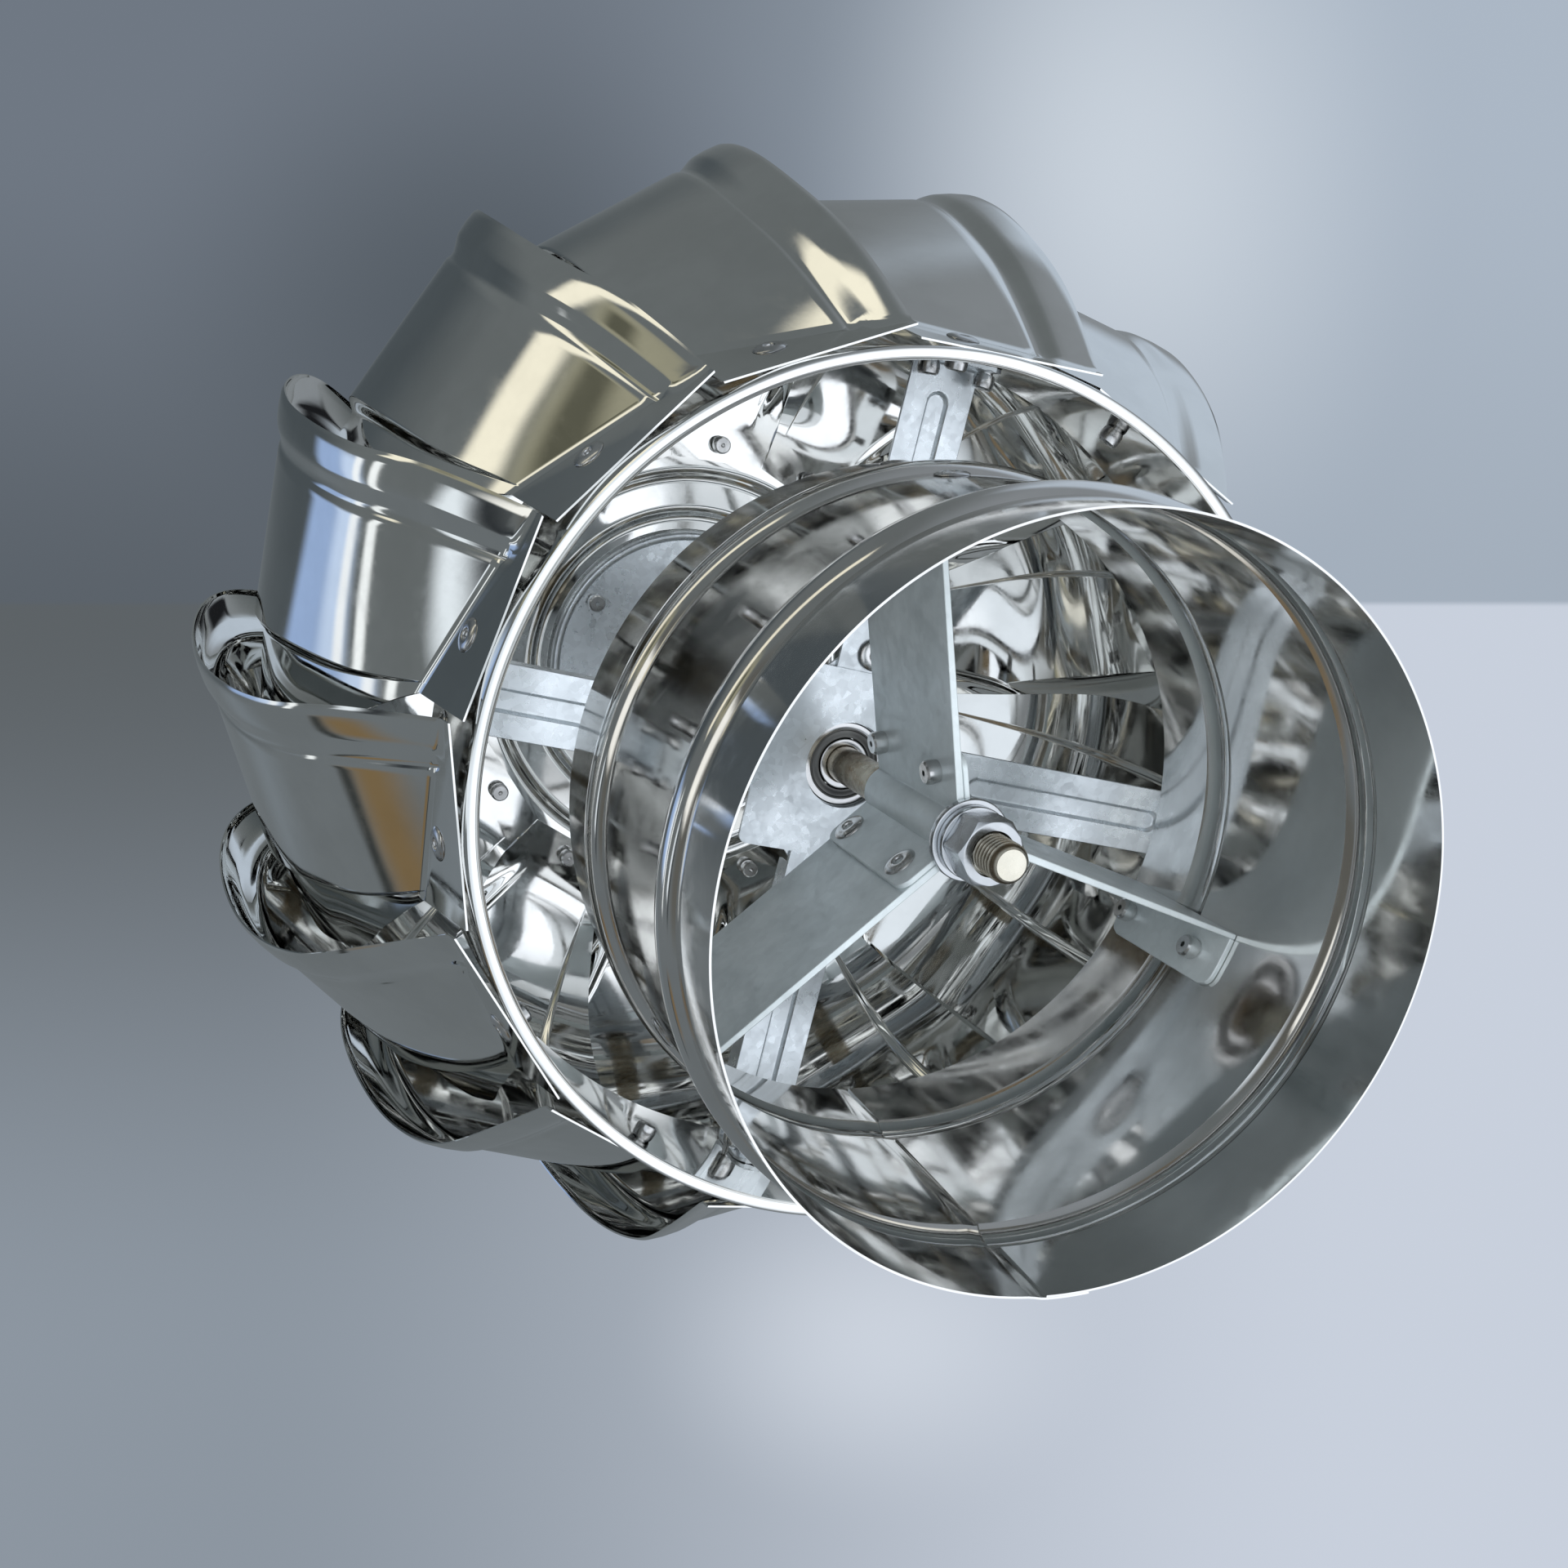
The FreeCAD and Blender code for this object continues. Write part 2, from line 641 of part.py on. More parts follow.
def closed_wire(rows):
    outer, inner = rows
    points = [polar(p.x, p.y, p.z) for p in list(outer) + list(inner)[::-1]]
    return Part.makePolygon(points + [points[0]])


def upper_tab():
    """Flat tab under the cap, with a straight inner end."""
    middle = BLADE_LEAN + TAB_SPAN / 2
    half = math.radians(TAB_SPAN / 2)
    out = TAB_OUT_R * math.cos(half)
    outline = [
        (out, -out * math.tan(half)), (out, out * math.tan(half)),
        (TAB_IN_R, TAB_IN_R * math.tan(half)), (TAB_IN_R, -TAB_IN_R * math.tan(half)),
    ]
    return turned(extruded(outline, TAB_TOP_Z - SHEET, SHEET), -middle)


def top_rivet_azimuth():
    return -(BLADE_LEAN + TAB_SPAN / 2)


def blade():
    """One blade with its lower corner at azimuth 0, its body running to -azimuth."""
    sections = [closed_wire(rows) for rows in blade_sections()]
    body = Part.makeLoft(sections, True, False)
    lower_tab = Part.makeLoft([closed_wire(tab_station(TAB_LOW_Z)), sections[0]], True, True)
    whole = body.fuse([lower_tab, upper_tab()])
    lower_hole = radial_hole(-BLADE_RIVET_AZ, BLADE_RIVET_Z, RING_IN, RING_R + 4)
    upper_hole = Part.makeCylinder(
        RIVET_HOLE_R, 4 * SHEET, polar(TOP_RIVET_R, top_rivet_azimuth(), TAB_TOP_Z - 2 * SHEET)
    )
    return whole.cut([lower_hole, upper_hole])


def blade_lower_rivets():
    seat = TAB_FACE_R + TOUCH
    grip = seat - RING_IN + 2 * TOUCH
    return [
        rivet(polar(seat, az - BLADE_RIVET_AZ, BLADE_RIVET_Z), polar(-1, az - BLADE_RIVET_AZ), grip)
        for az in blade_corner_azimuths()
    ]


def blade_upper_rivets():
    grip = 2 * SHEET + 3 * TOUCH
    seat_z = CAP_Z + SHEET + TOUCH
    return [
        rivet(polar(TOP_RIVET_R, az + top_rivet_azimuth(), seat_z), V(0, 0, -1), grip)
        for az in blade_corner_azimuths()
    ]


# Cap and upper bearing carrier

def carrier_rivet_azimuths():
    return [CARRIER_RIVET_AZ + 360.0 / CARRIER_RIVETS * n for n in range(CARRIER_RIVETS)]


def top_cap():
    """Cap that closes the head: a flat rim, then two steps up to a flat crown."""
    first, second = CAP_STEPS
    z0, z1, z2 = CAP_Z, CAP_Z + CAP_STEP_H, CROWN_Z
    under = [(CAP_R, z0), (first, z0), (first - CAP_STEP_H, z1), (second, z1),
             (second - CAP_STEP_H, z2), (0, z2)]
    over = [(r, z + SHEET) for r, z in reversed(under)]
    cap = revolved(under + over)
    cutters = []
    for azimuth in blade_corner_azimuths():
        place = polar(TOP_RIVET_R, azimuth + top_rivet_azimuth(), CAP_Z - SHEET)
        cutters.append(Part.makeCylinder(RIVET_HOLE_R, 4 * SHEET, place))
    for azimuth in carrier_rivet_azimuths():
        place = polar(CARRIER_RIVET_R, azimuth, CROWN_Z - SHEET)
        cutters.append(Part.makeCylinder(RIVET_HOLE_R, 4 * SHEET, place))
    return cap.cut(cutters)


def bearing_carrier():
    """Disc under the crown with a beaded rim and a cup drawn down round the bearing."""
    top, low = CARRIER_Z, CARRIER_Z - GALV
    disc = tube(BEARING_R, CARRIER_R - CARRIER_BEAD_R, low, GALV)
    bead = Part.makeTorus(
        CARRIER_R - CARRIER_BEAD_R, CARRIER_BEAD_R, V(0, 0, top - CARRIER_BEAD_R)
    )
    cup_low = TOP_BEARING_Z - TOUCH
    lip_in = BEARING_R - CUP_LIP
    cup = revolved(
        [(BEARING_R, top), (BEARING_R + GALV, top), (BEARING_R + GALV, cup_low - GALV),
         (lip_in, cup_low - GALV), (lip_in, cup_low), (BEARING_R, cup_low)]
    )
    carrier = disc.fuse([bead, cup])
    for azimuth in carrier_rivet_azimuths():
        place = polar(CARRIER_RIVET_R, azimuth, low - GALV)
        carrier = carrier.cut(Part.makeCylinder(RIVET_HOLE_R, 4 * GALV, place))
    return carrier.removeSplitter()


def carrier_rivets():
    grip = SHEET + GALV + 3 * TOUCH
    return [
        rivet(polar(CARRIER_RIVET_R, az, CROWN_Z + SHEET + TOUCH), V(0, 0, -1), grip)
        for az in carrier_rivet_azimuths()
    ]


def circlip(z_low):
    ring = tube(SHAFT_R + TOUCH, CIRCLIP_R, z_low, CIRCLIP_T)
    gap = Part.makeBox(CIRCLIP_R, SHAFT_R, CIRCLIP_T, V(0, -SHAFT_R / 2, z_low))
    return ring.cut(gap)


def build():
    os.makedirs("parts", exist_ok=True)
    write("duct_collar", duct_collar())
    one_strap = strap()
    for number, azimuth in enumerate(STRAP_AZ, 1):
        write(f"strap_{number}", turned(one_strap, azimuth))
    write_group("strap_hub_rivets", strap_hub_rivets())
    write_group("strap_foot_rivets", strap_foot_rivets())
    write("shaft", shaft())
    washer_top = STRAP_LOW_Z - TOUCH
    spring_top = washer_top - WASHER_T - TOUCH
    nut_top = spring_top - SPRING_T - TOUCH
    write("flat_washer", tube(SHAFT_R + TOUCH, WASHER_R, washer_top - WASHER_T, WASHER_T))
    write("spring_washer", spring_washer(spring_top))
    write("hex_nut", hex_nut(nut_top))
    write("lower_bearing_inner_race", inner_race(LOW_BEARING_Z))
    write("lower_bearing_outer_race", outer_race(LOW_BEARING_Z))
    write("upper_bearing_inner_race", inner_race(TOP_BEARING_Z))
    write("upper_bearing_outer_race", outer_race(TOP_BEARING_Z))
    write("shaft_circlip", circlip(TOP_BEARING_Z - TOUCH - CIRCLIP_T))
    write("lower_ring", lower_ring())
    one_arm = spider_arm()
    for number, azimuth in enumerate(arm_azimuths(), 1):
        write(f"spider_arm_{number}", turned(one_arm, azimuth))
    write("hub_plate_lower", hub_plate_lower())
    write("hub_plate_upper", hub_plate_upper())
    write_group("hub_plate_rivets", hub_plate_rivets())
    write_group("arm_ring_rivets", arm_ring_rivets())
    one_blade = blade()
    for number, azimuth in enumerate(blade_corner_azimuths(), 1):
        write(f"blade_{number:02d}", turned(one_blade, azimuth))
    write_group("blade_lower_rivets", blade_lower_rivets())
    write_group("blade_upper_rivets", blade_upper_rivets())
    write("top_cap", top_cap())
    write("bearing_carrier", bearing_carrier())
    write_group("carrier_rivets", carrier_rivets())


build()
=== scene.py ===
import math

import bpy
import numpy as np
from mathutils import Matrix, Vector


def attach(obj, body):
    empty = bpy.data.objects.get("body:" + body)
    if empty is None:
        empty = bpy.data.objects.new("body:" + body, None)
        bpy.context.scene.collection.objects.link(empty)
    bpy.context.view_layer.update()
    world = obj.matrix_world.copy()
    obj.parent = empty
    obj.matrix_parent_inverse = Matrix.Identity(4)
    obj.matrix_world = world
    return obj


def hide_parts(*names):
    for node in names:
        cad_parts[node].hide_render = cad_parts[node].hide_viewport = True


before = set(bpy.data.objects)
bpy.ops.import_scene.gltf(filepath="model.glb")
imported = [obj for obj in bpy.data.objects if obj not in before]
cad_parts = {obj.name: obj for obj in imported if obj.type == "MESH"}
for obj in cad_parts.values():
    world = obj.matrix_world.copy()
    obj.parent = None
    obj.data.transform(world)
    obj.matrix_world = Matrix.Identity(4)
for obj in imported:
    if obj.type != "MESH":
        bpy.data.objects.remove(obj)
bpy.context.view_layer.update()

# Sizes are in millimetres, as in the CAD source; piece() turns them into metres. Angles are in degrees.
MM = 0.001
SHEET, GALV, STRAP = 0.6, 1.2, 1.8  # thickness of the stainless, the galvanised and the strap sheet
TOUCH = 0.05  # play between pieces that lie against each other

# Duct collar
COLLAR_R, COLLAR_H = 100.0, 135.0
COLLAR_BEADS, BEAD_W, BEAD_OUT = (33.0, 103.0), 13.5, 3.0
LAP_AZ, LAP_SPAN, LAP_EASE = 91.5, 7.0, 3.0

# Straps
STRAP_AZ = (-100.6, 19.4, 139.4)
STRAP_LOW, STRAP_H = 76.0, 57.0
FLANGE_OUT, FOOT_L, STRAP_CORNER = 24.0, 17.0, 4.5

# Shaft, nut, washers and bearings
SHAFT_R, SHAFT_LOW, SHAFT_TOP = 6.0, 48.6, 352.85
THREAD_PITCH, THREAD_DEPTH, THREAD_TOP = 1.75, 0.92, 92.0
WASHER_R, WASHER_T = 12.0, 2.5
SPRING_R, SPRING_T = 10.5, 3.0
NUT_HALF, NUT_H = 9.0, 10.8
BEARING_R, BEARING_W = 14.0, 8.0

# Ring and arms
RING_R, RING_LOW, RING_TOP, HEM_IN = 134.0, 114.0, 178.0, 4.0
ARM_AZ = [-80.3 + 90 * n for n in range(4)]
ARM_Z, ARM_HALF, ARM_START = 168.0, 11.5, 17.5
RIB_HALF, RIB_H = 3.75, 1.5

# Blades
BLADE_COUNT = 14
PITCH = 360.0 / BLADE_COUNT
BLADE_AZ = [-42.5 - PITCH * n for n in range(BLADE_COUNT)]
HEAD_R, HEAD_WIDE = 200.0, 270.0
CREASE_LOW, CREASE_TOP = 128.0, 158.0
TAB_SPAN, LEAN = PITCH - 0.5, 4.8
BLADE_RIVET_AZ, BLADE_RIVET_Z = 16.2, 140.0
TAB_FACE = RING_R + TOUCH + SHEET
CORNER_OUT = TAB_FACE / math.cos(math.radians(BLADE_RIVET_AZ))
TAB_END = TAB_FACE / math.cos(math.radians(TAB_SPAN - BLADE_RIVET_AZ))
TAB_LOW, TAB_TILT = 122.0, math.tan(math.radians(10.0))
TAB_OUT, TAB_IN, TAB_TOP = 104.0, 86.0, 347.0
GUTTER = 23.0  # how far the tucked edge lies inside the free edge
BAND_H, BAND_W, BAND_SHARE = 2.0, 20.0, 0.30  # the raised band along the free edge
FOLD, FOLD_IN = 0.66, 0.80  # share of the way across and share of the way in, at the fold

# Cap
CAP_R, CAP_STEP = 100.0, 3.5
CROWN_Z = TAB_TOP + TOUCH + 2 * CAP_STEP

# Rivets
RIVET_HEAD = 4.75
HUB_RIVET_R, HUB_PLATE_RIVET_R = 17.5, 37.0
ARM_RIVET_AZ, ARM_RIVET_Z = 4.3, 160.0
TOP_RIVET_R, CARRIER_RIVET_R, CARRIER_RIVET_AZ = 93.0, 47.0, -147.0


# Shader helpers

class Nodes:
    """Short way to write a material's node tree."""

    def __init__(self, tree):
        self.tree = tree
        tree.nodes.clear()

    def add(self, kind, inputs=None, **settings):
        node = self.tree.nodes.new(kind)
        for key, value in settings.items():
            setattr(node, key, value)
        for key, value in (inputs or {}).items():
            socket = node.inputs[key]
            if hasattr(value, "is_output"):
                self.tree.links.new(value, socket)
            else:
                socket.default_value = value
        return node

    def math(self, operation, a, b=0.0):
        return self.add("ShaderNodeMath", {0: a, 1: b}, operation=operation).outputs[0]

    def mix(self, factor, a, b):
        node = self.add("ShaderNodeMix", data_type="RGBA")
        for index, value in ((0, factor), (6, a), (7, b)):
            if hasattr(value, "is_output"):
                self.tree.links.new(value, node.inputs[index])
            else:
                node.inputs[index].default_value = value
        return node.outputs[2]

    def ramp(self, value, low, high, out_low=0.0, out_high=1.0):
        """A smooth step from one value to another."""
        node = self.add(
            "ShaderNodeMapRange",
            {"Value": value, "From Min": low, "From Max": high, "To Min": out_low, "To Max": out_high},
            interpolation_type="SMOOTHSTEP",
        )
        return node.outputs[0]

    def noise(self, vector, scale, detail=3.0, rough=0.5, distortion=0.0):
        node = self.add(
            "ShaderNodeTexNoise",
            {"Vector": vector, "Scale": scale, "Detail": detail, "Roughness": rough,
             "Distortion": distortion},
        )
        return node.outputs[0]

    def dot(self, vector, direction):
        node = self.add("ShaderNodeVectorMath", {0: vector, 1: tuple(direction)}, operation="DOT_PRODUCT")
        return node.outputs["Value"]

    def bump(self, height, strength, distance, normal=None):
        inputs = {"Height": height, "Strength": strength, "Distance": distance}
        if normal:
            inputs["Normal"] = normal
        return self.add("ShaderNodeBump", inputs).outputs[0]

    def blend(self, factor, first, second):
        """A mix of two shaders."""
        inputs = {0: factor, 1: first.outputs[0], 2: second.outputs[0]}
        return self.add("ShaderNodeMixShader", inputs)

    def show(self, shader, kind="ShaderNodeOutputMaterial"):
        self.add(kind, {0: shader.outputs[0]})


def rgb(r, g, b):
    return (r, g, b, 1.0)


def start_material(name):
    """A material with an empty node tree, and the object's own coordinates."""
    material = bpy.data.materials.new(name)
    material.use_nodes = True
    n = Nodes(material.node_tree)
    return material, n, n.add("ShaderNodeTexCoord").outputs["Object"]


def metal(name, dark, light, rough_low, rough_high, bump=0.05, wave=0.0, grain=(1, 1, 1),
          spangle=0.0, stain=None, stain_amount=0.0, metallic=1.0):
    """Metal with colour drift, uneven polish, fine grain and, if wished, a spangle or stain."""
    material, n, coords = start_material(name)
    cloud = n.noise(coords, 28.0, 4.0, 0.6)
    colour = n.mix(n.ramp(cloud, 0.35, 0.65), dark, light)
    stretched = n.add("ShaderNodeMapping", {"Vector": coords, "Scale": grain}).outputs[0]
    fine = n.noise(stretched, 900.0, 3.0, 0.6)
    smudge = n.noise(coords, 70.0, 5.0, 0.65, 0.6)
    rough = n.ramp(smudge, 0.35, 0.75, rough_low, rough_high)
    rough = n.math("ADD", rough, n.math("MULTIPLY", n.math("SUBTRACT", fine, 0.5), 0.05))
    if spangle:
        cells = n.add("ShaderNodeTexVoronoi", {"Vector": coords, "Scale": 420.0, "Randomness": 1.0})
        cell = n.add("ShaderNodeSeparateColor", {"Color": cells.outputs["Color"]})
        shade = n.math("ADD", 1.0 - spangle / 2, n.math("MULTIPLY", cell.outputs[0], spangle))
        scaled = n.add("ShaderNodeVectorMath", {0: colour, "Scale": shade}, operation="SCALE")
        colour = scaled.outputs[0]
        rough = n.math("ADD", rough, n.math("MULTIPLY", cell.outputs[1], 0.10))
    if stain:
        spots = n.noise(coords, 120.0, 5.0, 0.7)
        colour = n.mix(n.math("MULTIPLY", n.ramp(spots, 0.5, 0.72), stain_amount), colour, stain)
    normal = n.bump(n.math("MULTIPLY", fine, 0.15), bump, 0.0004)
    if wave:
        normal = n.bump(n.noise(coords, 16.0, 2.0, 0.45, 0.3), wave, 0.004, normal)
    n.show(n.add("ShaderNodeBsdfPrincipled", {
        "Base Color": colour, "Metallic": metallic, "Roughness": rough, "Normal": normal}))
    return material


def threaded_steel():
    """Plated bar: bright at its threaded end, browner above it, dark down in the grooves."""
    material, n, coords = start_material("shaft_steel")
    x, y, z = n.add("ShaderNodeSeparateXYZ", {"Vector": coords}).outputs
    radius = n.math("SQRT", n.math("ADD", n.math("MULTIPLY", x, x), n.math("MULTIPLY", y, y)))
    deep = n.ramp(radius, MM * (SHAFT_R - 0.65), MM * (SHAFT_R - 0.10), 1.0, 0.0)
    off_the_end = n.ramp(z, MM * (SHAFT_LOW + 0.3), MM * (SHAFT_LOW + 0.9))
    bright = n.mix(n.noise(coords, 90.0, 4.0, 0.6), rgb(0.64, 0.60, 0.49), rgb(0.86, 0.83, 0.73))
    rust = n.ramp(n.noise(coords, 120.0, 5.0, 0.7), 0.40, 0.70)
    brown = n.mix(rust, rgb(0.46, 0.42, 0.33), rgb(0.26, 0.18, 0.10))
    colour = n.mix(n.ramp(z, MM * (SHAFT_LOW + 14), MM * (SHAFT_LOW + 45)), bright, brown)
    colour = n.mix(n.math("MULTIPLY", deep, off_the_end), colour, rgb(0.15, 0.12, 0.08))
    rough = n.ramp(n.noise(coords, 160.0, 4.0, 0.6), 0.3, 0.7, 0.18, 0.36)
    normal = n.bump(n.noise(coords, 900.0, 3.0, 0.6), 0.12, 0.0004)
    n.show(n.add("ShaderNodeBsdfPrincipled", {
        "Base Color": colour, "Metallic": 0.85, "Roughness": rough, "Normal": normal}))
    return material


def make_materials():
    return {
        "stainless_sheet": metal(
            "polished_stainless", rgb(0.80, 0.80, 0.78), rgb(0.86, 0.86, 0.84), 0.035, 0.09,
            bump=0.02, wave=0.025, grain=(1, 1, 0.05),
        ),
        "collar_stainless": metal(
            "rolled_stainless", rgb(0.76, 0.75, 0.73), rgb(0.83, 0.82, 0.80), 0.06, 0.13,
            bump=0.03, wave=0.05, grain=(1, 1, 0.05),
        ),
        "galvanised_sheet": metal(
            "galvanised_sheet", rgb(0.70, 0.75, 0.78), rgb(0.80, 0.85, 0.88), 0.22, 0.36,
            bump=0.10, wave=0.03, spangle=0.13, metallic=0.80,
        ),
        "strap_sheet": metal(
            "strap_sheet", rgb(0.70, 0.77, 0.78), rgb(0.78, 0.85, 0.86), 0.30, 0.44,
            bump=0.10, spangle=0.06, metallic=0.35,
        ),
        "rivet_steel": metal(
            "rivet_steel", rgb(0.62, 0.62, 0.62), rgb(0.80, 0.80, 0.79), 0.16, 0.34, bump=0.12,
            stain=rgb(0.20, 0.18, 0.15), stain_amount=0.35,
        ),
        "zinc_plated": metal(
            "zinc_plated", rgb(0.50, 0.52, 0.54), rgb(0.66, 0.68, 0.70), 0.16, 0.32, bump=0.10,
            stain=rgb(0.36, 0.34, 0.30), stain_amount=0.25,
        ),
        "bearing_steel": metal(
            "bearing_steel", rgb(0.50, 0.50, 0.50), rgb(0.66, 0.66, 0.66), 0.10, 0.22, bump=0.08,
        ),
        "shaft_steel": threaded_steel(),
        "seal_dark": metal(
            "seal_dark", rgb(0.10, 0.10, 0.10), rgb(0.17, 0.17, 0.16), 0.35, 0.50, bump=0.15,
        ),
    }


MATERIAL = make_materials()


# Mesh helpers

def piece(name, body, node, b, material, smooth_angle):
    """The builder's mesh as a piece that stands for a CAD node and moves with its body."""
    mesh = bpy.data.meshes.new(name)
    mesh.from_pydata([tuple(v * MM for v in p) for p in b.v], [], b.f)
    mesh.update()
    obj = bpy.data.objects.new(name, mesh)
    bpy.context.scene.collection.objects.link(obj)
    mesh.materials.append(MATERIAL[material])
    mesh.shade_smooth()
    mesh.set_sharp_from_angle(angle=math.radians(smooth_angle))
    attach(obj, body)
    if node:
        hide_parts(node)
    return obj


def bevel(obj, width, angle):
    modifier = obj.modifiers.new("edges", "BEVEL")
    modifier.width = width * MM
    modifier.segments = 2
    modifier.limit_method = "ANGLE"
    modifier.angle_limit = math.radians(angle)


def ring_section(r_in, r_out, low, top):
    """Corners of an oblong section: (radius, z)."""
    return [(r_in, low), (r_out, low), (r_out, top), (r_in, top)]


class Builder:
    """Collects vertices and faces of several simple surfaces into one mesh."""

    def __init__(self):
        self.v = []
        self.f = []

    def grid(self, rows, close_v=False):
        """Join closed rows of points by quads; close_v joins the last row to the first too."""
        start = len(self.v)
        count = len(rows[0])
        for row in rows:
            self.v.extend(tuple(p) for p in row)
        for i in range(len(rows) if close_v else len(rows) - 1):
            for j in range(count):
                a = start + i * count + j
                b = start + i * count + (j + 1) % count
                c = start + ((i + 1) % len(rows)) * count + (j + 1) % count
                d = start + ((i + 1) % len(rows)) * count + j
                self.f.append((a, b, c, d))

    def cap_ends(self, rows, start=0):
        """Close the first and the last row of a grid with one face each."""
        count = len(rows[0])
        last = start + (len(rows) - 1) * count
        self.f.append(tuple(start + j for j in reversed(range(count))))
        self.f.append(tuple(last + j for j in range(count)))

    def strip_ends(self, rows, turned=False):
        """Close the first and the last row with quads: the row runs out on one face, back on the other."""
        count = len(rows[0]) // 2
        for row in (0, len(rows) - 1):
            base = row * 2 * count
            for j in range(count - 1):
                quad = (base + j, base + j + 1, base + 2 * count - 2 - j, base + 2 * count - 1 - j)
                self.f.append(quad[::-1] if (row == 0) != turned else quad)

    def turn(self, section, segments=96, matrix=None):
        """A closed section of (radius, z) turned round Z, or round a matrix's Z."""
        rows = []
        for k in range(segments):
            a = 2 * math.pi * k / segments
            row = [Vector((r * math.cos(a), r * math.sin(a), z)) for r, z in section]
            rows.append([matrix @ p for p in row] if matrix else row)
        self.grid(rows, close_v=True)

    def prism(self, outline, z_low, z_top, matrix=None):
        """A closed flat outline of (x, y), anticlockwise, raised from one height to another."""
        start = len(self.v)
        n = len(outline)
        for z in (z_low, z_top):
            for x, y in outline:
                p = Vector((x, y, z))
                self.v.append(tuple(matrix @ p if matrix else p))
        self.f.append(tuple(start + i for i in reversed(range(n))))
        self.f.append(tuple(start + n + i for i in range(n)))
        for i in range(n):
            j = (i + 1) % n
            self.f.append((start + i, start + j, start + n + j, start + n + i))


def polar(radius, azimuth, z=0.0):
    a = math.radians(azimuth)
    return (radius * math.cos(a), radius * math.sin(a), z)


def ease(share):
    share = min(max(share, 0.0), 1.0)
    return share * share * (3 - 2 * share)


def about_z(degrees):
    return Matrix.Rotation(math.radians(degrees), 4, "Z")


def rounded_section(points, radius, steps=4):
    """Round the corners of a closed section."""
    out = []
    n = len(points)
    for i in range(n):
        a, b, c = (Vector(points[k % n]) for k in (i - 1, i, i + 1))
        ab, cb = a - b, c - b
        r = min(radius, ab.length * 0.45, cb.length * 0.45)
        p, q = b + ab.normalized() * r, b + cb.normalized() * r
        for s in range(steps + 1):
            t = s / steps
            out.append(tuple(p * (1 - t) ** 2 + b * 2 * t * (1 - t) + q * t ** 2))
    return out


# Blades

class Curve:
    """Smooth side view through (radius, z) points, with a given start and end direction."""

    def __init__(self, points, rise):
        p = np.array(points, float)
        chord = np.linalg.norm(np.diff(p, axis=0), axis=1)
        t = np.concatenate([[0], np.cumsum(chord)])
        n = len(p)
        first = np.array([1.0, rise]) / math.hypot(1, rise)
        last = np.array([-1.0, 0.0])
        a = np.zeros((n, n))
        rhs = np.zeros((n, 2))
        a[0, 0] = a[-1, -1] = 1
        rhs[0], rhs[-1] = first, last
        for i in range(1, n - 1):
            h0, h1 = t[i] - t[i - 1], t[i + 1] - t[i]
            a[i, i - 1], a[i, i], a[i, i + 1] = h1, 2 * (h0 + h1), h0
            rhs[i] = 3 * (h1 * (p[i] - p[i - 1]) / h0 + h0 * (p[i + 1] - p[i]) / h1)
        self.t, self.p, self.m = t, p, np.linalg.solve(a, rhs)

    def at(self, share):
        """Point and outward normal at a share of the length."""
        u = share * self.t[-1]
        i = min(int(np.searchsorted(self.t, u, side="right")) - 1, len(self.t) - 2)
        h = self.t[i + 1] - self.t[i]
        s = (u - self.t[i]) / h
        p0, p1, m0, m1 = self.p[i], self.p[i + 1], self.m[i], self.m[i + 1]
        point = ((2 * s ** 3 - 3 * s ** 2 + 1) * p0 + (s ** 3 - 2 * s ** 2 + s) * h * m0
                 + (-2 * s ** 3 + 3 * s ** 2) * p1 + (s ** 3 - s ** 2) * h * m1)
        slope = ((6 * s ** 2 - 6 * s) * p0 / h + (3 * s ** 2 - 4 * s + 1) * m0
                 + (-6 * s ** 2 + 6 * s) * p1 / h + (3 * s ** 2 - 2 * s) * m1)
        slope = slope / np.linalg.norm(slope)
        return point, np.array([slope[1], -slope[0]])


def make_curves():
    """Side views of the free edge, which stands out, and of the tucked edge."""
    free = Curve([
        (CORNER_OUT, CREASE_LOW), (HEAD_R - 29, HEAD_WIDE - 102), (HEAD_R - 8, HEAD_WIDE - 53),
        (HEAD_R - 0.6, HEAD_WIDE), (HEAD_R - 10, HEAD_WIDE + 46), (HEAD_R - 37, HEAD_WIDE + 68),
        (TAB_OUT + 26, TAB_TOP - 1.5), (TAB_OUT, TAB_TOP)], 1.15)
    tucked = Curve([
        (TAB_END, CREASE_TOP), (HEAD_R - GUTTER - 10, HEAD_WIDE - 55),
        (HEAD_R - GUTTER, HEAD_WIDE), (HEAD_R - GUTTER - 18, HEAD_WIDE + 52),
        (TAB_OUT + 22, TAB_TOP - 6), (TAB_OUT, TAB_TOP)], 1.6)
    return free, tucked


# Each pair is a share, of the band's width or of the way up the blade, and a value there.
BAND_KNOTS = ((0.0, 0.45), (0.10, 0.85), (0.32, 1.0), (0.54, 0.90), (0.60, 0.72), (0.80, -0.30),
              (0.88, -0.38), (0.95, -0.15), (1.0, 0.0))
EDGE_TURN = ((0.0, 0.3), (0.12, -1.9), (0.25, -4.3), (0.40, -4.5), (0.55, -3.0), (0.70, 0.1),
             (0.82, -0.2), (0.92, -2.6), (1.0, -LEAN))
FOLD_TURN = ((0.0, 23.7), (0.06, 24.6), (0.14, 25.4), (0.25, 25.6), (0.6, 25.6), (0.85, 26.6), (1.0, 27.6))
END_TURN = ((0.0, TAB_SPAN), (0.12, 30.0), (0.25, 34.5), (0.6, 35.0), (0.85, 32.0), (1.0, LEAN + TAB_SPAN))
FREE, TUCKED = make_curves()


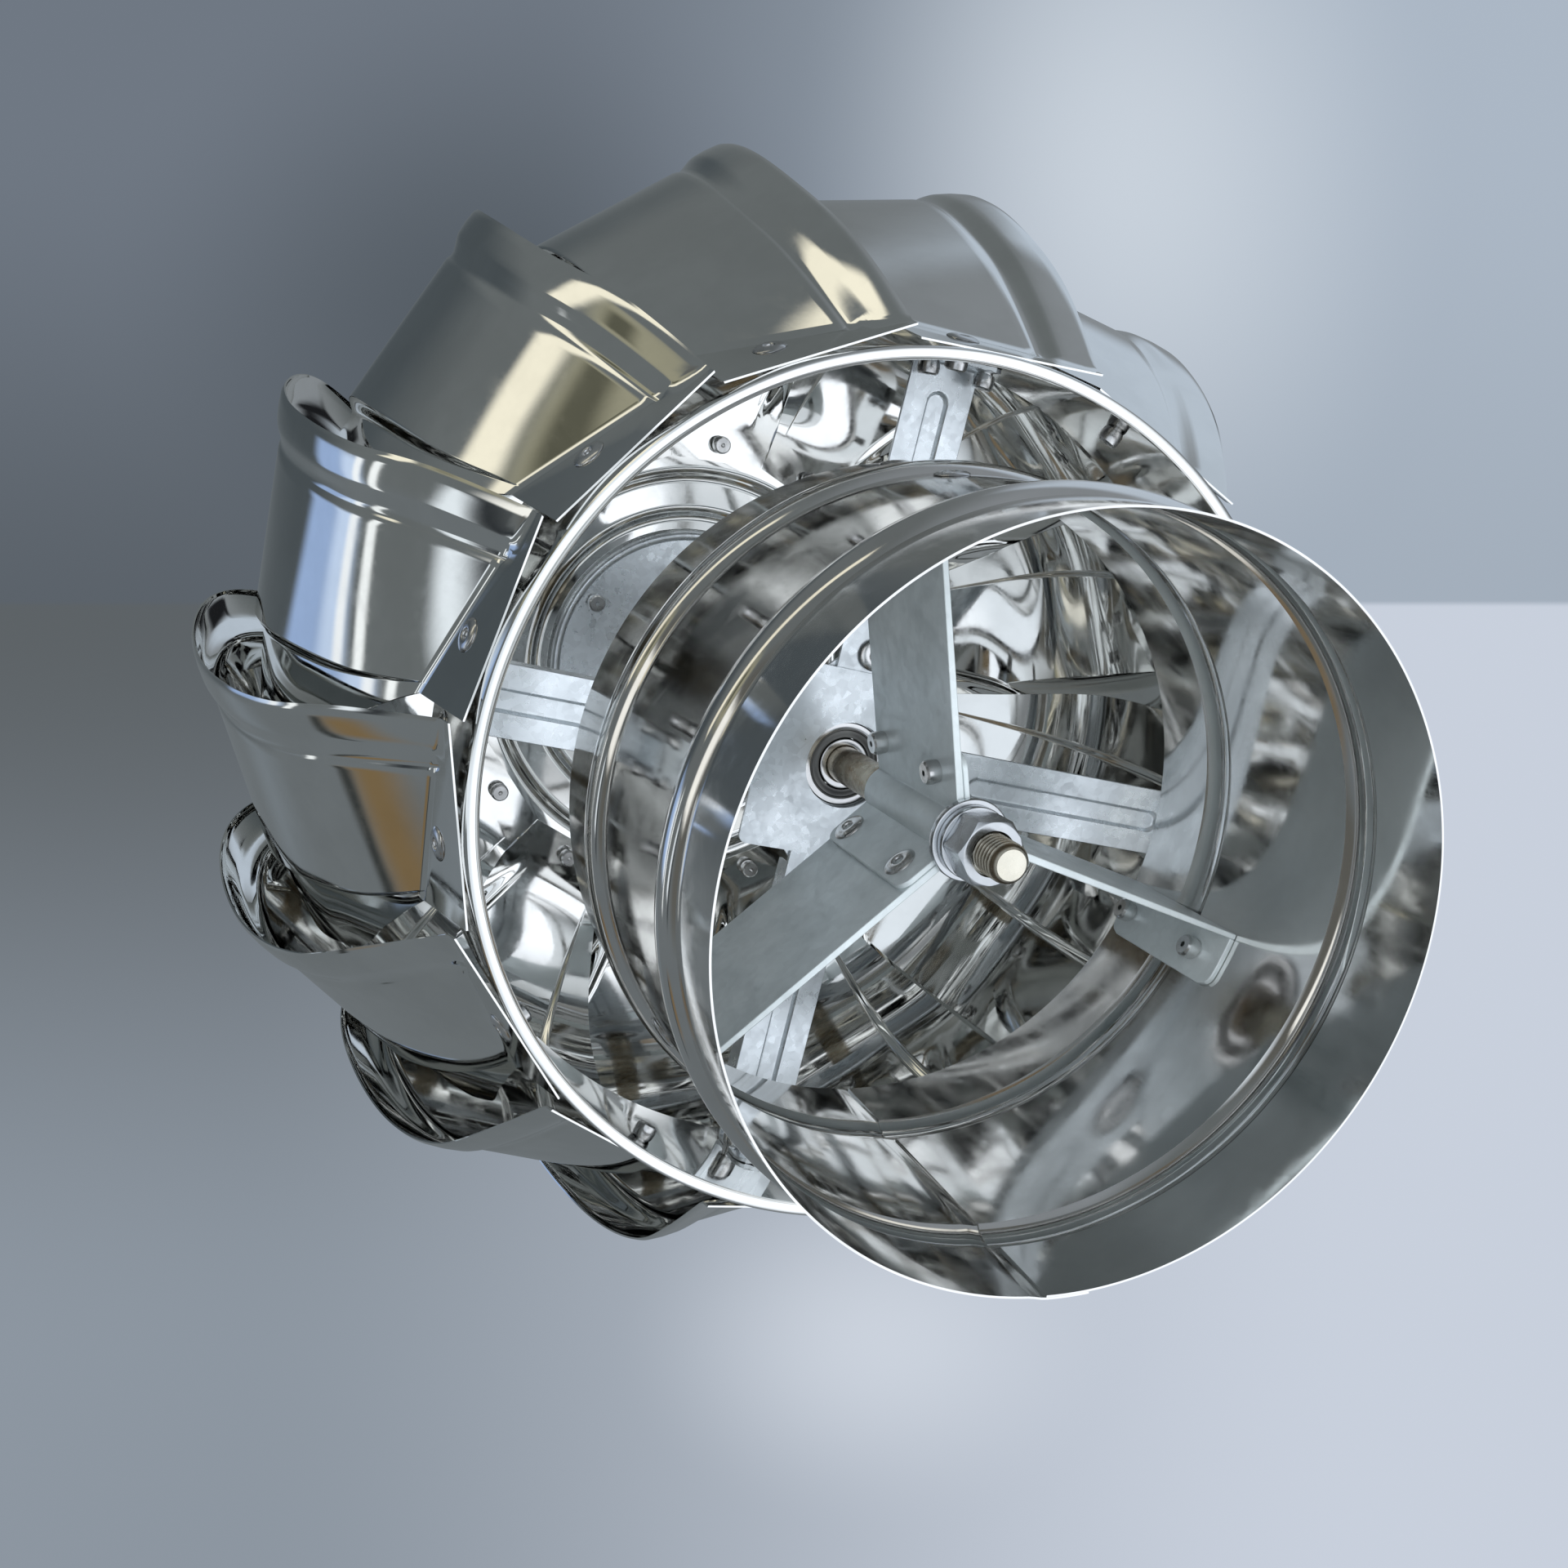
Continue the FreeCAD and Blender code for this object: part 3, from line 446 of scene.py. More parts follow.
def smooth_through(knots, value):
    """Catmull-Rom value through uneven knots."""
    x, y = zip(*knots)
    i = min(max(int(np.searchsorted(x, value, side="right")) - 1, 0), len(x) - 2)

    def slope(k):
        if k == 0 or k == len(x) - 1:
            j = min(k, len(x) - 2)
            return (y[j + 1] - y[j]) / (x[j + 1] - x[j])
        return (y[k + 1] - y[k - 1]) / (x[k + 1] - x[k - 1])

    h = x[i + 1] - x[i]
    s = (value - x[i]) / h
    return ((2 * s ** 3 - 3 * s ** 2 + 1) * y[i] + (s ** 3 - 2 * s ** 2 + s) * h * slope(i)
            + (-2 * s ** 3 + 3 * s ** 2) * y[i + 1] + (s ** 3 - s ** 2) * h * slope(i + 1))


def columns(radius, span):
    """Share across and height of the edge band for every column: band, face, fold, tucked flange."""
    width = radius * math.radians(span)
    end = FOLD * min(BAND_W, BAND_SHARE * width) / width
    band = (0.0, 0.04, 0.10, 0.20, 0.32, 0.44, 0.54, 0.57, 0.60, 0.63, 0.70, 0.80, 0.88, 0.92, 0.95)
    table = [(end * t, float(np.interp(t, *zip(*BAND_KNOTS)))) for t in band]
    flat = [end + (FOLD - 0.006 - end) * i / 24 for i in range(25)]
    fold = [0.658, 0.662, 0.667, 0.673, 0.680, 0.688, 0.696, 0.703, 0.709, 0.715]
    flange = [0.72 + 0.28 * i / 8 for i in range(9)]
    return table + [(t, 0.0) for t in flat + fold + flange]


def azimuth_of(across, start, fold, end):
    """Azimuth of a column from those of the free edge, the fold and the tucked edge."""
    if across < FOLD:
        return start + (fold - start) * across / FOLD
    return fold + (end - fold) * (across - FOLD) / (1 - FOLD)


def tab_points(level):
    """Two rows on the flat lower tab, outside and inside, from the crease down to its edge."""
    to_corner = TAB_FACE * math.tan(math.radians(BLADE_RIVET_AZ))
    to_end = TAB_FACE * math.tan(math.radians(TAB_SPAN - BLADE_RIVET_AZ))
    slope = (CREASE_TOP - CREASE_LOW) / (to_corner + to_end)
    rows = []
    for face in (TAB_FACE, TAB_FACE - SHEET):
        row = []
        for across, height in columns(CORNER_OUT, TAB_SPAN):
            azimuth = azimuth_of(across, 0.0, FOLD_TURN[0][1], TAB_SPAN)
            turn = math.radians(BLADE_RIVET_AZ - azimuth)
            z = CREASE_LOW + slope * (to_corner - face * math.tan(turn))
            z = z * (1 - level) + TAB_LOW * level
            out = face + (z - TAB_LOW) * TAB_TILT + BAND_H * height * max(0.0, 1 - level / 0.25)
            row.append((out / math.cos(turn), -azimuth, z))
        rows.append(row)
    return rows


def flat_points(x_line):
    """Two rows of the upper tab along a straight line at a distance from the axis."""
    middle = LEAN + TAB_SPAN / 2
    rows = []
    for z in (TAB_TOP, TAB_TOP - SHEET):
        row = []
        for across, _ in columns(TAB_OUT, TAB_SPAN):
            azimuth = azimuth_of(across, LEAN, FOLD_TURN[-1][1], LEAN + TAB_SPAN)
            row.append((x_line / math.cos(math.radians(azimuth - middle)), -azimuth, z))
        rows.append(row)
    return rows


def way_in(across):
    """Share of the way in towards the tucked edge, past the fold."""
    joggle = ease((across - FOLD) / 0.05)
    return FOLD_IN + (0.97 - FOLD_IN) * joggle + 0.05 * max(0.0, across - FOLD - 0.05) / 0.29


def body_points(share):
    """One section: straight from the free edge to the fold, then the tucked flange."""
    pf, nf = FREE.at(share)
    pt, nt = TUCKED.at(share)
    start = -smooth_through(EDGE_TURN, share)
    crest = smooth_through(FOLD_TURN, share)
    end = smooth_through(END_TURN, share)
    fade = ease((1 - share) / 0.15)
    fold = pf * (1 - FOLD_IN) + pt * FOLD_IN
    near = Vector(polar(pf[0], -start, pf[1]))
    far = Vector(polar(fold[0], -crest, fold[1]))
    outer, inner = [], []
    for across, height in columns(pf[0], crest - start):
        if across < FOLD:
            w = FOLD_IN * across / FOLD
            q = near.lerp(far, across / FOLD)
            p = np.array([math.hypot(q.x, q.y), q.z])
            turn = math.degrees(math.atan2(q.y, q.x))
        else:
            w = way_in(across)
            p = pf * (1 - w) + pt * w
            turn = -azimuth_of(across, start, crest, end)
        nrm = nf * (1 - w) + nt * w
        nrm = nrm / np.linalg.norm(nrm)
        out = p + nrm * (BAND_H * height * fade)
        back = out - nrm * SHEET
        outer.append((out[0], turn, out[1]))
        inner.append((back[0], turn, back[1]))
    return outer, inner


def blend_rows(rows, target, base, weight):
    """Shift a pair of rows by the difference between two other pairs."""
    return [
        [tuple(v + weight * (t - b) for v, t, b in zip(p, q, o)) for p, q, o in zip(row, trow, brow)]
        for row, trow, brow in zip(rows, target, base)
    ]


def blade_rows():
    """All pairs of rows of one blade: lower tab, body, upper tab."""
    out = TAB_OUT * math.cos(math.radians(TAB_SPAN / 2))
    crease, top = tab_points(0.0), flat_points(out)
    first, last = body_points(0.0), body_points(1.0)
    pairs = [tab_points(level) for level in (1.0, 0.6, 0.25, 0.06)] + [crease]
    steps = 84
    for i in range(1, steps):
        share = i / steps
        rows = body_points(share)
        near = 1 - ease(share / 0.30)
        far = 1 - ease((1 - share) / 0.12)
        if near > 0:
            rows = blend_rows(rows, crease, first, near)
        if far > 0:
            rows = blend_rows(rows, top, last, far)
        pairs.append(rows)
    pairs += [flat_points(x_line) for x_line in (out, out - 1.5, (out + TAB_IN) / 2, TAB_IN)]
    return pairs


def make_blades():
    pairs = blade_rows()
    for k, corner in enumerate(BLADE_AZ, 1):
        b = Builder()
        rows = []
        for outer, inner in pairs:
            rows.append([polar(r, a + corner, z) for r, a, z in outer + inner[::-1]])
        b.grid(rows)
        b.strip_ends(rows)
        piece(f"blade_{k:02d}_sheet", "rotor", f"blade_{k:02d}", b, "stainless_sheet", 40.0)


# Collar, ring, cap

def collar_profile():
    """The wall from the open rim up on its outer side, then down on its inner side: (radius, z)."""
    half = BEAD_W / 2
    radius = (half ** 2 + BEAD_OUT ** 2) / (2 * BEAD_OUT)
    line = [(0.0, 0.0)]
    for centre in COLLAR_BEADS:
        for i in range(25):
            z = centre - half + BEAD_W * i / 24
            out = math.sqrt(radius ** 2 - (z - centre) ** 2) - (radius - BEAD_OUT)
            line.append((max(out, 0.0), z))
    line.append((0.0, COLLAR_H))
    fine = []
    for (out, z), (_, z_next) in zip(line, line[1:]):
        fine.append((out, z))
        if z_next - z > 8:
            fine += [(0.0, z + (z_next - z) * k / 6) for k in range(1, 6)]
    fine.append(line[-1])
    outer = [(COLLAR_R + out, z) for out, z in fine]
    inner = [(COLLAR_R + out - SHEET, z) for out, z in reversed(fine)]
    return outer + inner


def make_collar():
    """The sheet goes once round and its end lies over its start at the seam."""
    b = Builder()
    rows = []
    steps = 330
    seam = LAP_AZ - 360
    for i in range(steps + 1):
        azimuth = LAP_AZ - LAP_SPAN + (360 + LAP_SPAN) * (i / steps) - 360
        lift = (SHEET + 0.02) * (1 - ease((azimuth - seam) / LAP_EASE))
        rows.append([polar(r + lift, azimuth, z) for r, z in collar_profile()])
    b.grid(rows)
    b.cap_ends(rows)
    piece("collar_sheet", "base", "duct_collar", b, "collar_stainless", 40.0)


def make_ring():
    """Band with a rolled hem at its lower edge."""
    low, r = RING_LOW, RING_R
    section = [(r - SHEET, RING_TOP), (r - SHEET, low + 7.0), (r - 0.8, low + 4.6), (r - 1.8, low + 3.0)]
    section += [(r - 3.3, low + 1.7), (r - HEM_IN, low + 1.0), (r - HEM_IN + 0.1, low + 0.45)]
    section += [(r - HEM_IN + 0.6, low + 0.1), (r - 2.6, low), (r - 1.0, low), (r - 0.4, low + 0.2)]
    section += [(r - 0.05, low + 0.7), (r, low + 1.5)]
    section += [(r, low + 6), (r, low + 20), (r, low + 40), (r, RING_TOP)]
    b = Builder()
    b.turn(section, 288)
    piece("ring_band", "rotor", "lower_ring", b, "stainless_sheet", 30.0)


def make_cap():
    """Disc with two steps up towards its crown."""
    z0, z1 = TAB_TOP + TOUCH, TAB_TOP + TOUCH + CAP_STEP
    under = [(CAP_R, z0), (82.0, z0), (78.5, z1), (66.0, z1), (62.5, CROWN_Z), (0.5, CROWN_Z)]
    over = [(r, z + SHEET) for r, z in reversed(under)]
    b = Builder()
    b.turn(rounded_section(under + over, 2.2), 160)
    piece("cap_sheet", "rotor", "top_cap", b, "stainless_sheet", 30.0)


def make_carrier():
    """Disc under the crown with a curled rim and the upper bearing's cup in its middle."""
    top = CROWN_Z - TOUCH
    low = top - GALV
    cup_low = low - BEARING_W - TOUCH - TOUCH
    section = [(BEARING_R, top), (BEARING_R, cup_low + 0.3), (BEARING_R, cup_low), (11.4, cup_low)]
    section += [(11.4, cup_low - GALV), (14.6, cup_low - GALV), (15.2, cup_low - 0.6), (15.2, low)]
    section += [(52.6, low)]
    for degrees in range(-150, 91, 15):
        a = math.radians(degrees)
        section.append((55.0 + 2.0 * math.cos(a), top - 2.0 + 2.0 * math.sin(a)))
    b = Builder()
    b.turn(section, 128)
    piece("carrier_disc", "rotor", "bearing_carrier", b, "galvanised_sheet", 35.0)


# Straps

def arc(radius, start, end, steps=20):
    """Points of an arc round the axis, as (x, y)."""
    turns = [math.radians(start + (end - start) * i / steps) for i in range(steps + 1)]
    return [(radius * math.cos(a), radius * math.sin(a)) for a in turns]


def rounded_plate(length, height, corner, steps=6):
    """Outline of a plate with its two far corners rounded: (along, up)."""
    points = [(0.0, 0.0)]
    for cx, cy, a0 in ((length - corner, corner, -90), (length - corner, height - corner, 0)):
        for i in range(steps + 1):
            a = math.radians(a0 + 90 * i / steps)
            points.append((cx + corner * math.cos(a), cy + corner * math.sin(a)))
    points.append((0.0, height))
    return points


def strap_outline(foot_out):
    """Web and a third of the sleeve from above, anticlockwise."""
    sleeve_in = SHAFT_R + TOUCH
    web_end = math.sqrt(foot_out ** 2 - STRAP ** 2) - 0.05
    outline = [(web_end, -STRAP), (web_end, 0.0), (sleeve_in + 0.01, 0.0)]
    outline += arc(sleeve_in, 0, -120)[1:]
    outline += arc(sleeve_in + STRAP, -120, -math.degrees(math.asin(STRAP / sleeve_in)))
    area = sum(p[0] * q[1] - q[0] * p[1] for p, q in zip(outline, outline[1:] + outline[:1]))
    return outline if area > 0 else outline[::-1]


def foot_rows(foot_out, turn):
    """The foot along the collar's wall, with its two far corners rounded."""
    foot_in = foot_out - STRAP
    span = math.degrees(FOOT_L / (COLLAR_R - SHEET))
    rows = []
    steps = 14
    for i in range(steps + 1):
        left = max(0.0, STRAP_CORNER - FOOT_L * (1 - i / steps))
        drop = STRAP_CORNER - math.sqrt(max(0.0, STRAP_CORNER ** 2 - left ** 2))
        a, low, top = span * i / steps, STRAP_LOW + drop, STRAP_LOW + STRAP_H - drop
        rows.append([turn @ Vector(polar(r, a, z)) for r, z in ring_section(foot_in, foot_out, low, top)])
    return rows


def make_straps():
    foot_out = COLLAR_R - SHEET - TOUCH
    outline = strap_outline(foot_out)
    side = SHAFT_R + 0.2
    flange = rounded_plate(FLANGE_OUT - side, STRAP_H, STRAP_CORNER)
    for k, azimuth in enumerate(STRAP_AZ, 1):
        b = Builder()
        turn = about_z(azimuth)
        b.prism(outline, STRAP_LOW, STRAP_LOW + STRAP_H, turn)
        upright = Matrix(((1, 0, 0, side), (0, 0, -1, STRAP), (0, 1, 0, STRAP_LOW), (0, 0, 0, 1)))
        b.prism(flange, 0.0, STRAP - TOUCH, turn @ about_z(-120) @ upright)
        rows = foot_rows(foot_out, turn)
        start = len(b.v)
        b.grid(rows)
        b.cap_ends(rows, start)
        name = f"strap_{k}"
        obj = piece(name + "_flat", "base", name, b, "strap_sheet", 30.0)
        bevel(obj, 0.28, 35.0)


# Shaft, nut, washers, bearings

def make_shaft():
    """Round bar with a screw thread cut into its lower end."""
    segments, rows_per_turn = 48, 10
    low_chamfer, top_chamfer, run_out = 1.8, 1.2, 4.0
    thread_rows = int((THREAD_TOP - SHAFT_LOW) / THREAD_PITCH * rows_per_turn)
    heights = [SHAFT_LOW + i * THREAD_PITCH / rows_per_turn for i in range(thread_rows)]
    heights += [THREAD_TOP + 1, SHAFT_TOP - top_chamfer, SHAFT_TOP - TOUCH]
    rows = []
    for z in heights:
        chamfer = max(0.0, low_chamfer - (z - SHAFT_LOW)) * 0.9
        if z == heights[-1]:
            chamfer = top_chamfer
        fade = min(1.0, max(0.0, (THREAD_TOP - z) / run_out))
        row = []
        for k in range(segments):
            phase = ((z - SHAFT_LOW) / THREAD_PITCH + k / segments) % 1.0
            depth = THREAD_DEPTH * (1 - abs(2 * phase - 1)) ** 0.9
            row.append(polar(SHAFT_R - max(depth * fade, chamfer), 360 * k / segments, z))
        rows.append(row)
    b = Builder()
    b.grid(rows)
    b.cap_ends(rows)
    piece("shaft_bar", "base", "shaft", b, "shaft_steel", 30.0)


def make_washer(hole, top):
    b = Builder()
    b.turn(rounded_section(ring_section(hole, WASHER_R, top - WASHER_T, top), 0.5))
    piece("washer_disc", "base", "flat_washer", b, "zinc_plated", 40.0)


def make_spring_washer(hole, top):
    """A ring with a narrow cut."""
    section = rounded_section(ring_section(hole, SPRING_R, top - SPRING_T, top - 0.02), 0.35, 3)
    cut, steps = 16.0, 72
    rows = []
    for i in range(steps + 1):
        azimuth = cut / 2 + (360 - cut) * i / steps
        rows.append([polar(r, azimuth, z) for r, z in section])
    b = Builder()
    b.grid(rows)
    b.cap_ends(rows)
    piece("spring_washer_coil", "base", "spring_washer", b, "zinc_plated", 40.0)


def make_nut(hole, top):
    """Hexagon whose corners are turned down on both faces."""
    low = top - NUT_H
    corner = NUT_HALF / math.cos(math.radians(30))
    rows = []
    steps = 120
    for k in range(steps):
        a = 360.0 * k / steps
        side = min(NUT_HALF / math.cos(math.radians((a % 60) - 30)), corner - 0.06)
        cut = (side - 8.9) * 0.58
        row = [(hole + 0.55, low), (8.6, low), (8.95, low + 0.05), (side, low + cut),
               (side, low + 3), (side, top - 3), (side, top - cut), (8.95, top - 0.05),
               (8.6, top), (hole + 0.55, top), (hole, top - 0.6), (hole, low + 0.6)]
        rows.append([polar(r, a, z) for r, z in row])
    b = Builder()
    b.grid(rows, close_v=True)
    piece("nut_hexagon", "base", "hex_nut", b, "zinc_plated", 22.0)


def make_hardware():
    hole = SHAFT_R + TOUCH
    washer_top = STRAP_LOW - TOUCH
    spring_top = washer_top - WASHER_T - TOUCH
    make_washer(hole, washer_top)
    make_spring_washer(hole, spring_top)
    make_nut(hole, spring_top - SPRING_T - TOUCH)


def make_bearing(prefix, z_low):
    """Two races, with a shield pressed into the outer one on each side."""
    z_top = z_low + BEARING_W
    b = Builder()
    b.turn(rounded_section(ring_section(SHAFT_R + TOUCH, 8.4, z_low, z_top), 0.5))
    piece(prefix + "_inner", "base", prefix + "_inner_race", b, "bearing_steel", 40.0)
    b = Builder()
    b.turn(rounded_section(ring_section(11.55, BEARING_R - TOUCH, z_low, z_top), 0.45), 112)
    piece(prefix + "_outer", "rotor", prefix + "_outer_race", b, "bearing_steel", 40.0)
    b = Builder()
    shield = [(8.72, 0.45), (8.85, 0.32), (9.6, 0.30), (10.0, 0.55), (11.1, 0.55), (11.35, 0.25),
              (11.6, 0.3), (11.6, 0.9), (8.72, 0.9)]
    b.turn([(r, z_low + depth) for r, depth in shield])
    b.turn([(r, z_top - depth) for r, depth in reversed(shield)])
    piece(prefix + "_shields", "rotor", None, b, "seal_dark", 40.0)


# Arms

def rib_height(x, y, x_from, x_to):
    """Height of the pressed rib at a point of the arm: a long shape with round ends."""
    away = math.hypot(max(x_from + RIB_HALF - x, 0.0, x - (x_to - RIB_HALF)), y)
    return RIB_H * ease((RIB_HALF + 0.2 - away) / 1.3)


def arm_rows(reach):
    """Sections of one arm: along the flat with its rib, round the bend, down the end tab."""
    bend, foot, corner = 0.9, ARM_Z - 20.0 + GALV, 4.5
    bend_x = reach - GALV - bend
    rib_from, rib_to = 41.0 + RIVET_HEAD, reach - 10.0
    across = [-ARM_HALF, -9.0, -6.5, -5.0] + [-4.2 + 0.35 * i for i in range(25)]
    across += [5.0, 6.5, 9.0, ARM_HALF]
    stops = [ARM_START, 30.0, 40.0] + [rib_from - 0.6 + 0.4 * i for i in range(14)]
    stops += [60.0, 80.0, 100.0, 112.0] + [rib_to - 4.6 + 0.4 * i for i in range(14)] + [bend_x]
    rows = []
    for x in stops:
        face = [(x, y, ARM_Z + rib_height(x, y, rib_from, rib_to)) for y in across]
        rows.append(face + [(x, y, z + GALV) for _, y, z in face[::-1]])
    for step in range(1, 7):
        a = math.radians(90 - 15 * step)
        row = []
        for radius, line in ((bend, across), (bend + GALV, across[::-1])):
            x, z = bend_x + radius * math.cos(a), ARM_Z - bend + radius * math.sin(a)
            row += [(x, y, z) for y in line]
        rows.append(row)
    tab = [ARM_Z - 6, ARM_Z - 12] + [foot + up for up in (4.5, 3.2, 2.0, 1.0, 0.4, 0.1)]
    for z in tab:
        drop = max(0.0, corner - (z - foot))
        narrow = corner - math.sqrt(max(0.0, corner ** 2 - drop ** 2))
        line = [y * (ARM_HALF - narrow) / ARM_HALF for y in across]
        rows.append([(reach - GALV, y, z) for y in line] + [(reach, y, z) for y in line[::-1]])
    return rows


def make_arms():
    """Flat with a rib pressed up along its middle, a side flange and an end tab bent down."""
    reach = math.sqrt((RING_R - SHEET - TOUCH) ** 2 - ARM_HALF ** 2)
    flat_rows = arm_rows(reach)
    side_start = HUB_PLATE_RIVET_R + RIVET_HEAD + 3.0 - ARM_HALF + 2 * GALV
    side = [(x, max(z - 0.6, 0.0)) for x, z in rounded_plate(reach - 10.0 - side_start, 8.0, 1.5)]
    upright = Matrix(((1, 0, 0, side_start), (0, 0, -1, ARM_HALF), (0, 1, 0, ARM_Z + 0.6), (0, 0, 0, 1)))
    for k, azimuth in enumerate(ARM_AZ, 1):
        turn = about_z(azimuth)
        b = Builder()
        rows = [[turn @ Vector(p) for p in row] for row in flat_rows]
        b.grid(rows)
        b.strip_ends(rows, turned=True)
        b.prism(side, 0.0, GALV, turn @ upright)
        obj = piece(f"arm_{k}_flat", "rotor", f"spider_arm_{k}", b, "galvanised_sheet", 34.0)
        bevel(obj, 0.2, 50.0)


# Rivets

def rivet_frame(seat, direction):
    """Frame whose Z runs from the head outwards, with its origin on the seat."""
    out = -Vector(direction).normalized()
    return Matrix.Translation(Vector(seat)) @ out.to_track_quat("Z", "Y").to_matrix().to_4x4()


def rivet_mesh(b, seat, direction, grip):
    """A blind rivet: a domed head with a hole on its seat, and a tail behind the sheets it grips."""
    matrix = rivet_frame(seat, direction)
    head = [(1.55, -1.5), (1.55, 0.50), (1.70, 0.80), (1.95, 0.98), (2.4, 1.08), (3.1, 1.02), (3.9, 0.84),
            (4.6, 0.54), (5.1, 0.2), (5.2, 0.02), (2.4, 0.0), (2.4, -1.6)]
    b.turn(head, 28, matrix)
    tail = [(0.9, -grip - 4.9), (2.9, -grip - 4.9), (3.45, -grip - 4.3), (3.6, -grip - 2.6),
            (3.4, -grip - 0.8), (3.1, -grip - 0.05), (2.4, -grip), (2.4, -0.5), (1.3, -0.6),
            (1.2, -grip - 4.2)]
    b.turn(tail[::-1], 20, matrix)


def strap_rivets():
    """Places of the rivets at the straps' feet and through their sleeve flanges."""
    middle = math.degrees(FOOT_L / 2 / (COLLAR_R - SHEET))
    foot, hub = [], []
    for az in STRAP_AZ:
        for z in (STRAP_LOW + 13, STRAP_LOW + STRAP_H - 6):
            seat = polar(COLLAR_R + TOUCH, az + middle, z)
            foot.append((seat, polar(-1, az + middle), SHEET + STRAP + 0.25))
        for z in (STRAP_LOW + 12, STRAP_LOW + STRAP_H - 6.5):
            seat = about_z(az) @ Vector((HUB_RIVET_R, STRAP + TOUCH, z))
            hub.append((seat, about_z(az) @ Vector((0, -1, 0)), 2 * (STRAP + TOUCH)))
    return foot, hub


def arm_rivets():
    """Places of the rivets through the hub plates and at the ring."""
    under = ARM_Z - GALV - 2 * TOUCH
    plate = [(polar(HUB_PLATE_RIVET_R, az, under), (0, 0, 1), 2 * GALV + 1.4) for az in ARM_AZ]
    reach = math.sqrt((RING_R - SHEET - TOUCH) ** 2 - ARM_HALF ** 2)
    grip = RING_R - reach + GALV + 0.1
    turns = [az + shift for az in ARM_AZ for shift in (-ARM_RIVET_AZ, ARM_RIVET_AZ)]
    return plate, [(polar(RING_R + TOUCH, az, ARM_RIVET_Z), polar(-1, az), grip) for az in turns]


def blade_rivets():
    """Places of the rivets through the lower tabs, square to their tilt, and through the cap."""
    seat = TAB_FACE + TOUCH + (BLADE_RIVET_Z - TAB_LOW) * TAB_TILT
    grip = seat - (RING_R - SHEET) + 0.1
    turns = [az - BLADE_RIVET_AZ for az in BLADE_AZ]
    lower = [(polar(seat, az, BLADE_RIVET_Z), polar(-1, az, TAB_TILT), grip) for az in turns]
    turns = [az - (LEAN + TAB_SPAN / 2) for az in BLADE_AZ]
    top = TAB_TOP + 2 * TOUCH + SHEET
    return lower, [(polar(TOP_RIVET_R, az, top), (0, 0, -1), 2 * SHEET + 0.15) for az in turns]


def make_rivets():
    foot, hub = strap_rivets()
    plate, ring = arm_rivets()
    lower, upper = blade_rivets()
    crown = CROWN_Z + SHEET + TOUCH
    turns = [CARRIER_RIVET_AZ + 90 * n for n in range(4)]
    carrier = [(polar(CARRIER_RIVET_R, az, crown), (0, 0, -1), SHEET + GALV + 0.15) for az in turns]
    for name, body, places in (
        ("strap_foot_rivets", "base", foot), ("strap_hub_rivets", "base", hub),
        ("hub_plate_rivets", "rotor", plate), ("arm_ring_rivets", "rotor", ring),
        ("blade_lower_rivets", "rotor", lower), ("blade_upper_rivets", "rotor", upper),
        ("carrier_rivets", "rotor", carrier),
    ):
        b = Builder()
        for seat, way, grip in places:
            rivet_mesh(b, seat, way, grip)
        piece(name + "_round", body, name, b, "rivet_steel", 35.0)


# Pieces shown as the CAD solids give them

def dress_cad():
    chosen = {"shaft_circlip": "bearing_steel", "hub_plate_lower": "galvanised_sheet",
              "hub_plate_upper": "galvanised_sheet"}
    for name, material in chosen.items():
        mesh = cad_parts[name].data
        mesh.materials.clear()
        mesh.materials.append(MATERIAL[material])


# Surroundings

# The photograph's view: the eye, and the picture's right, up and forward. ROOM_UP is the room's up.
EYE = Vector((-0.2245, -0.1215, -0.3619))
RIGHT = Vector((0.937, -0.082, -0.340)).normalized()
UP = Vector((0.0, -0.973, 0.235)).normalized()
LOOK = Vector((0.350, 0.220, 0.911)).normalized()
ROOM_UP = Vector((-0.20, -0.923, -0.33)).normalized()
FLOOR_END = 0.1004  # slope above the picture's middle at which the floor meets the wall


def make_camera():
    data = bpy.data.cameras.new("camera")
    data.lens = 41.25
    data.sensor_width = 36.0
    data.clip_start = 0.01
    camera = bpy.data.objects.new("camera", data)
    bpy.context.scene.collection.objects.link(camera)
    across = UP.cross(-LOOK).normalized()
    matrix = Matrix((across, (-LOOK).cross(across), -LOOK)).transposed().to_4x4()
    camera.matrix_world = Matrix.Translation(EYE) @ matrix
    bpy.context.scene.camera = camera


def window(n, vector, centre, side, wide, tall, soft):
    """Brightness of a rectangle seen in a direction, with soft borders."""
    centre = Vector(centre).normalized()
    side = (Vector(side) - centre * Vector(side).dot(centre)).normalized()
    over = centre.cross(side)
    depth = n.dot(vector, centre)
    ahead = n.math("GREATER_THAN", depth, 0.05)
    depth = n.math("MAXIMUM", depth, 0.05)
    x = n.math("ABSOLUTE", n.math("DIVIDE", n.dot(vector, side), depth))
    y = n.math("ABSOLUTE", n.math("DIVIDE", n.dot(vector, over), depth))
    inside_x = n.ramp(x, wide - soft, wide + soft, 1.0, 0.0)
    inside_y = n.ramp(y, tall - soft, tall + soft, 1.0, 0.0)
    return n.math("MULTIPLY", n.math("MULTIPLY", inside_x, inside_y), ahead)


def direction(right, up, back):
    """A direction in the room: to the right, up, and back towards the viewer."""
    ahead = (LOOK - ROOM_UP * LOOK.dot(ROOM_UP)).normalized()
    return RIGHT * right + ROOM_UP * up - ahead * back


def toward(azimuth, height):
    """A direction in the room: degrees right of straight ahead, and degrees up."""
    a, e = math.radians(azimuth), math.radians(height)
    return direction(math.sin(a) * math.cos(e), math.sin(e), -math.cos(a) * math.cos(e)).normalized()


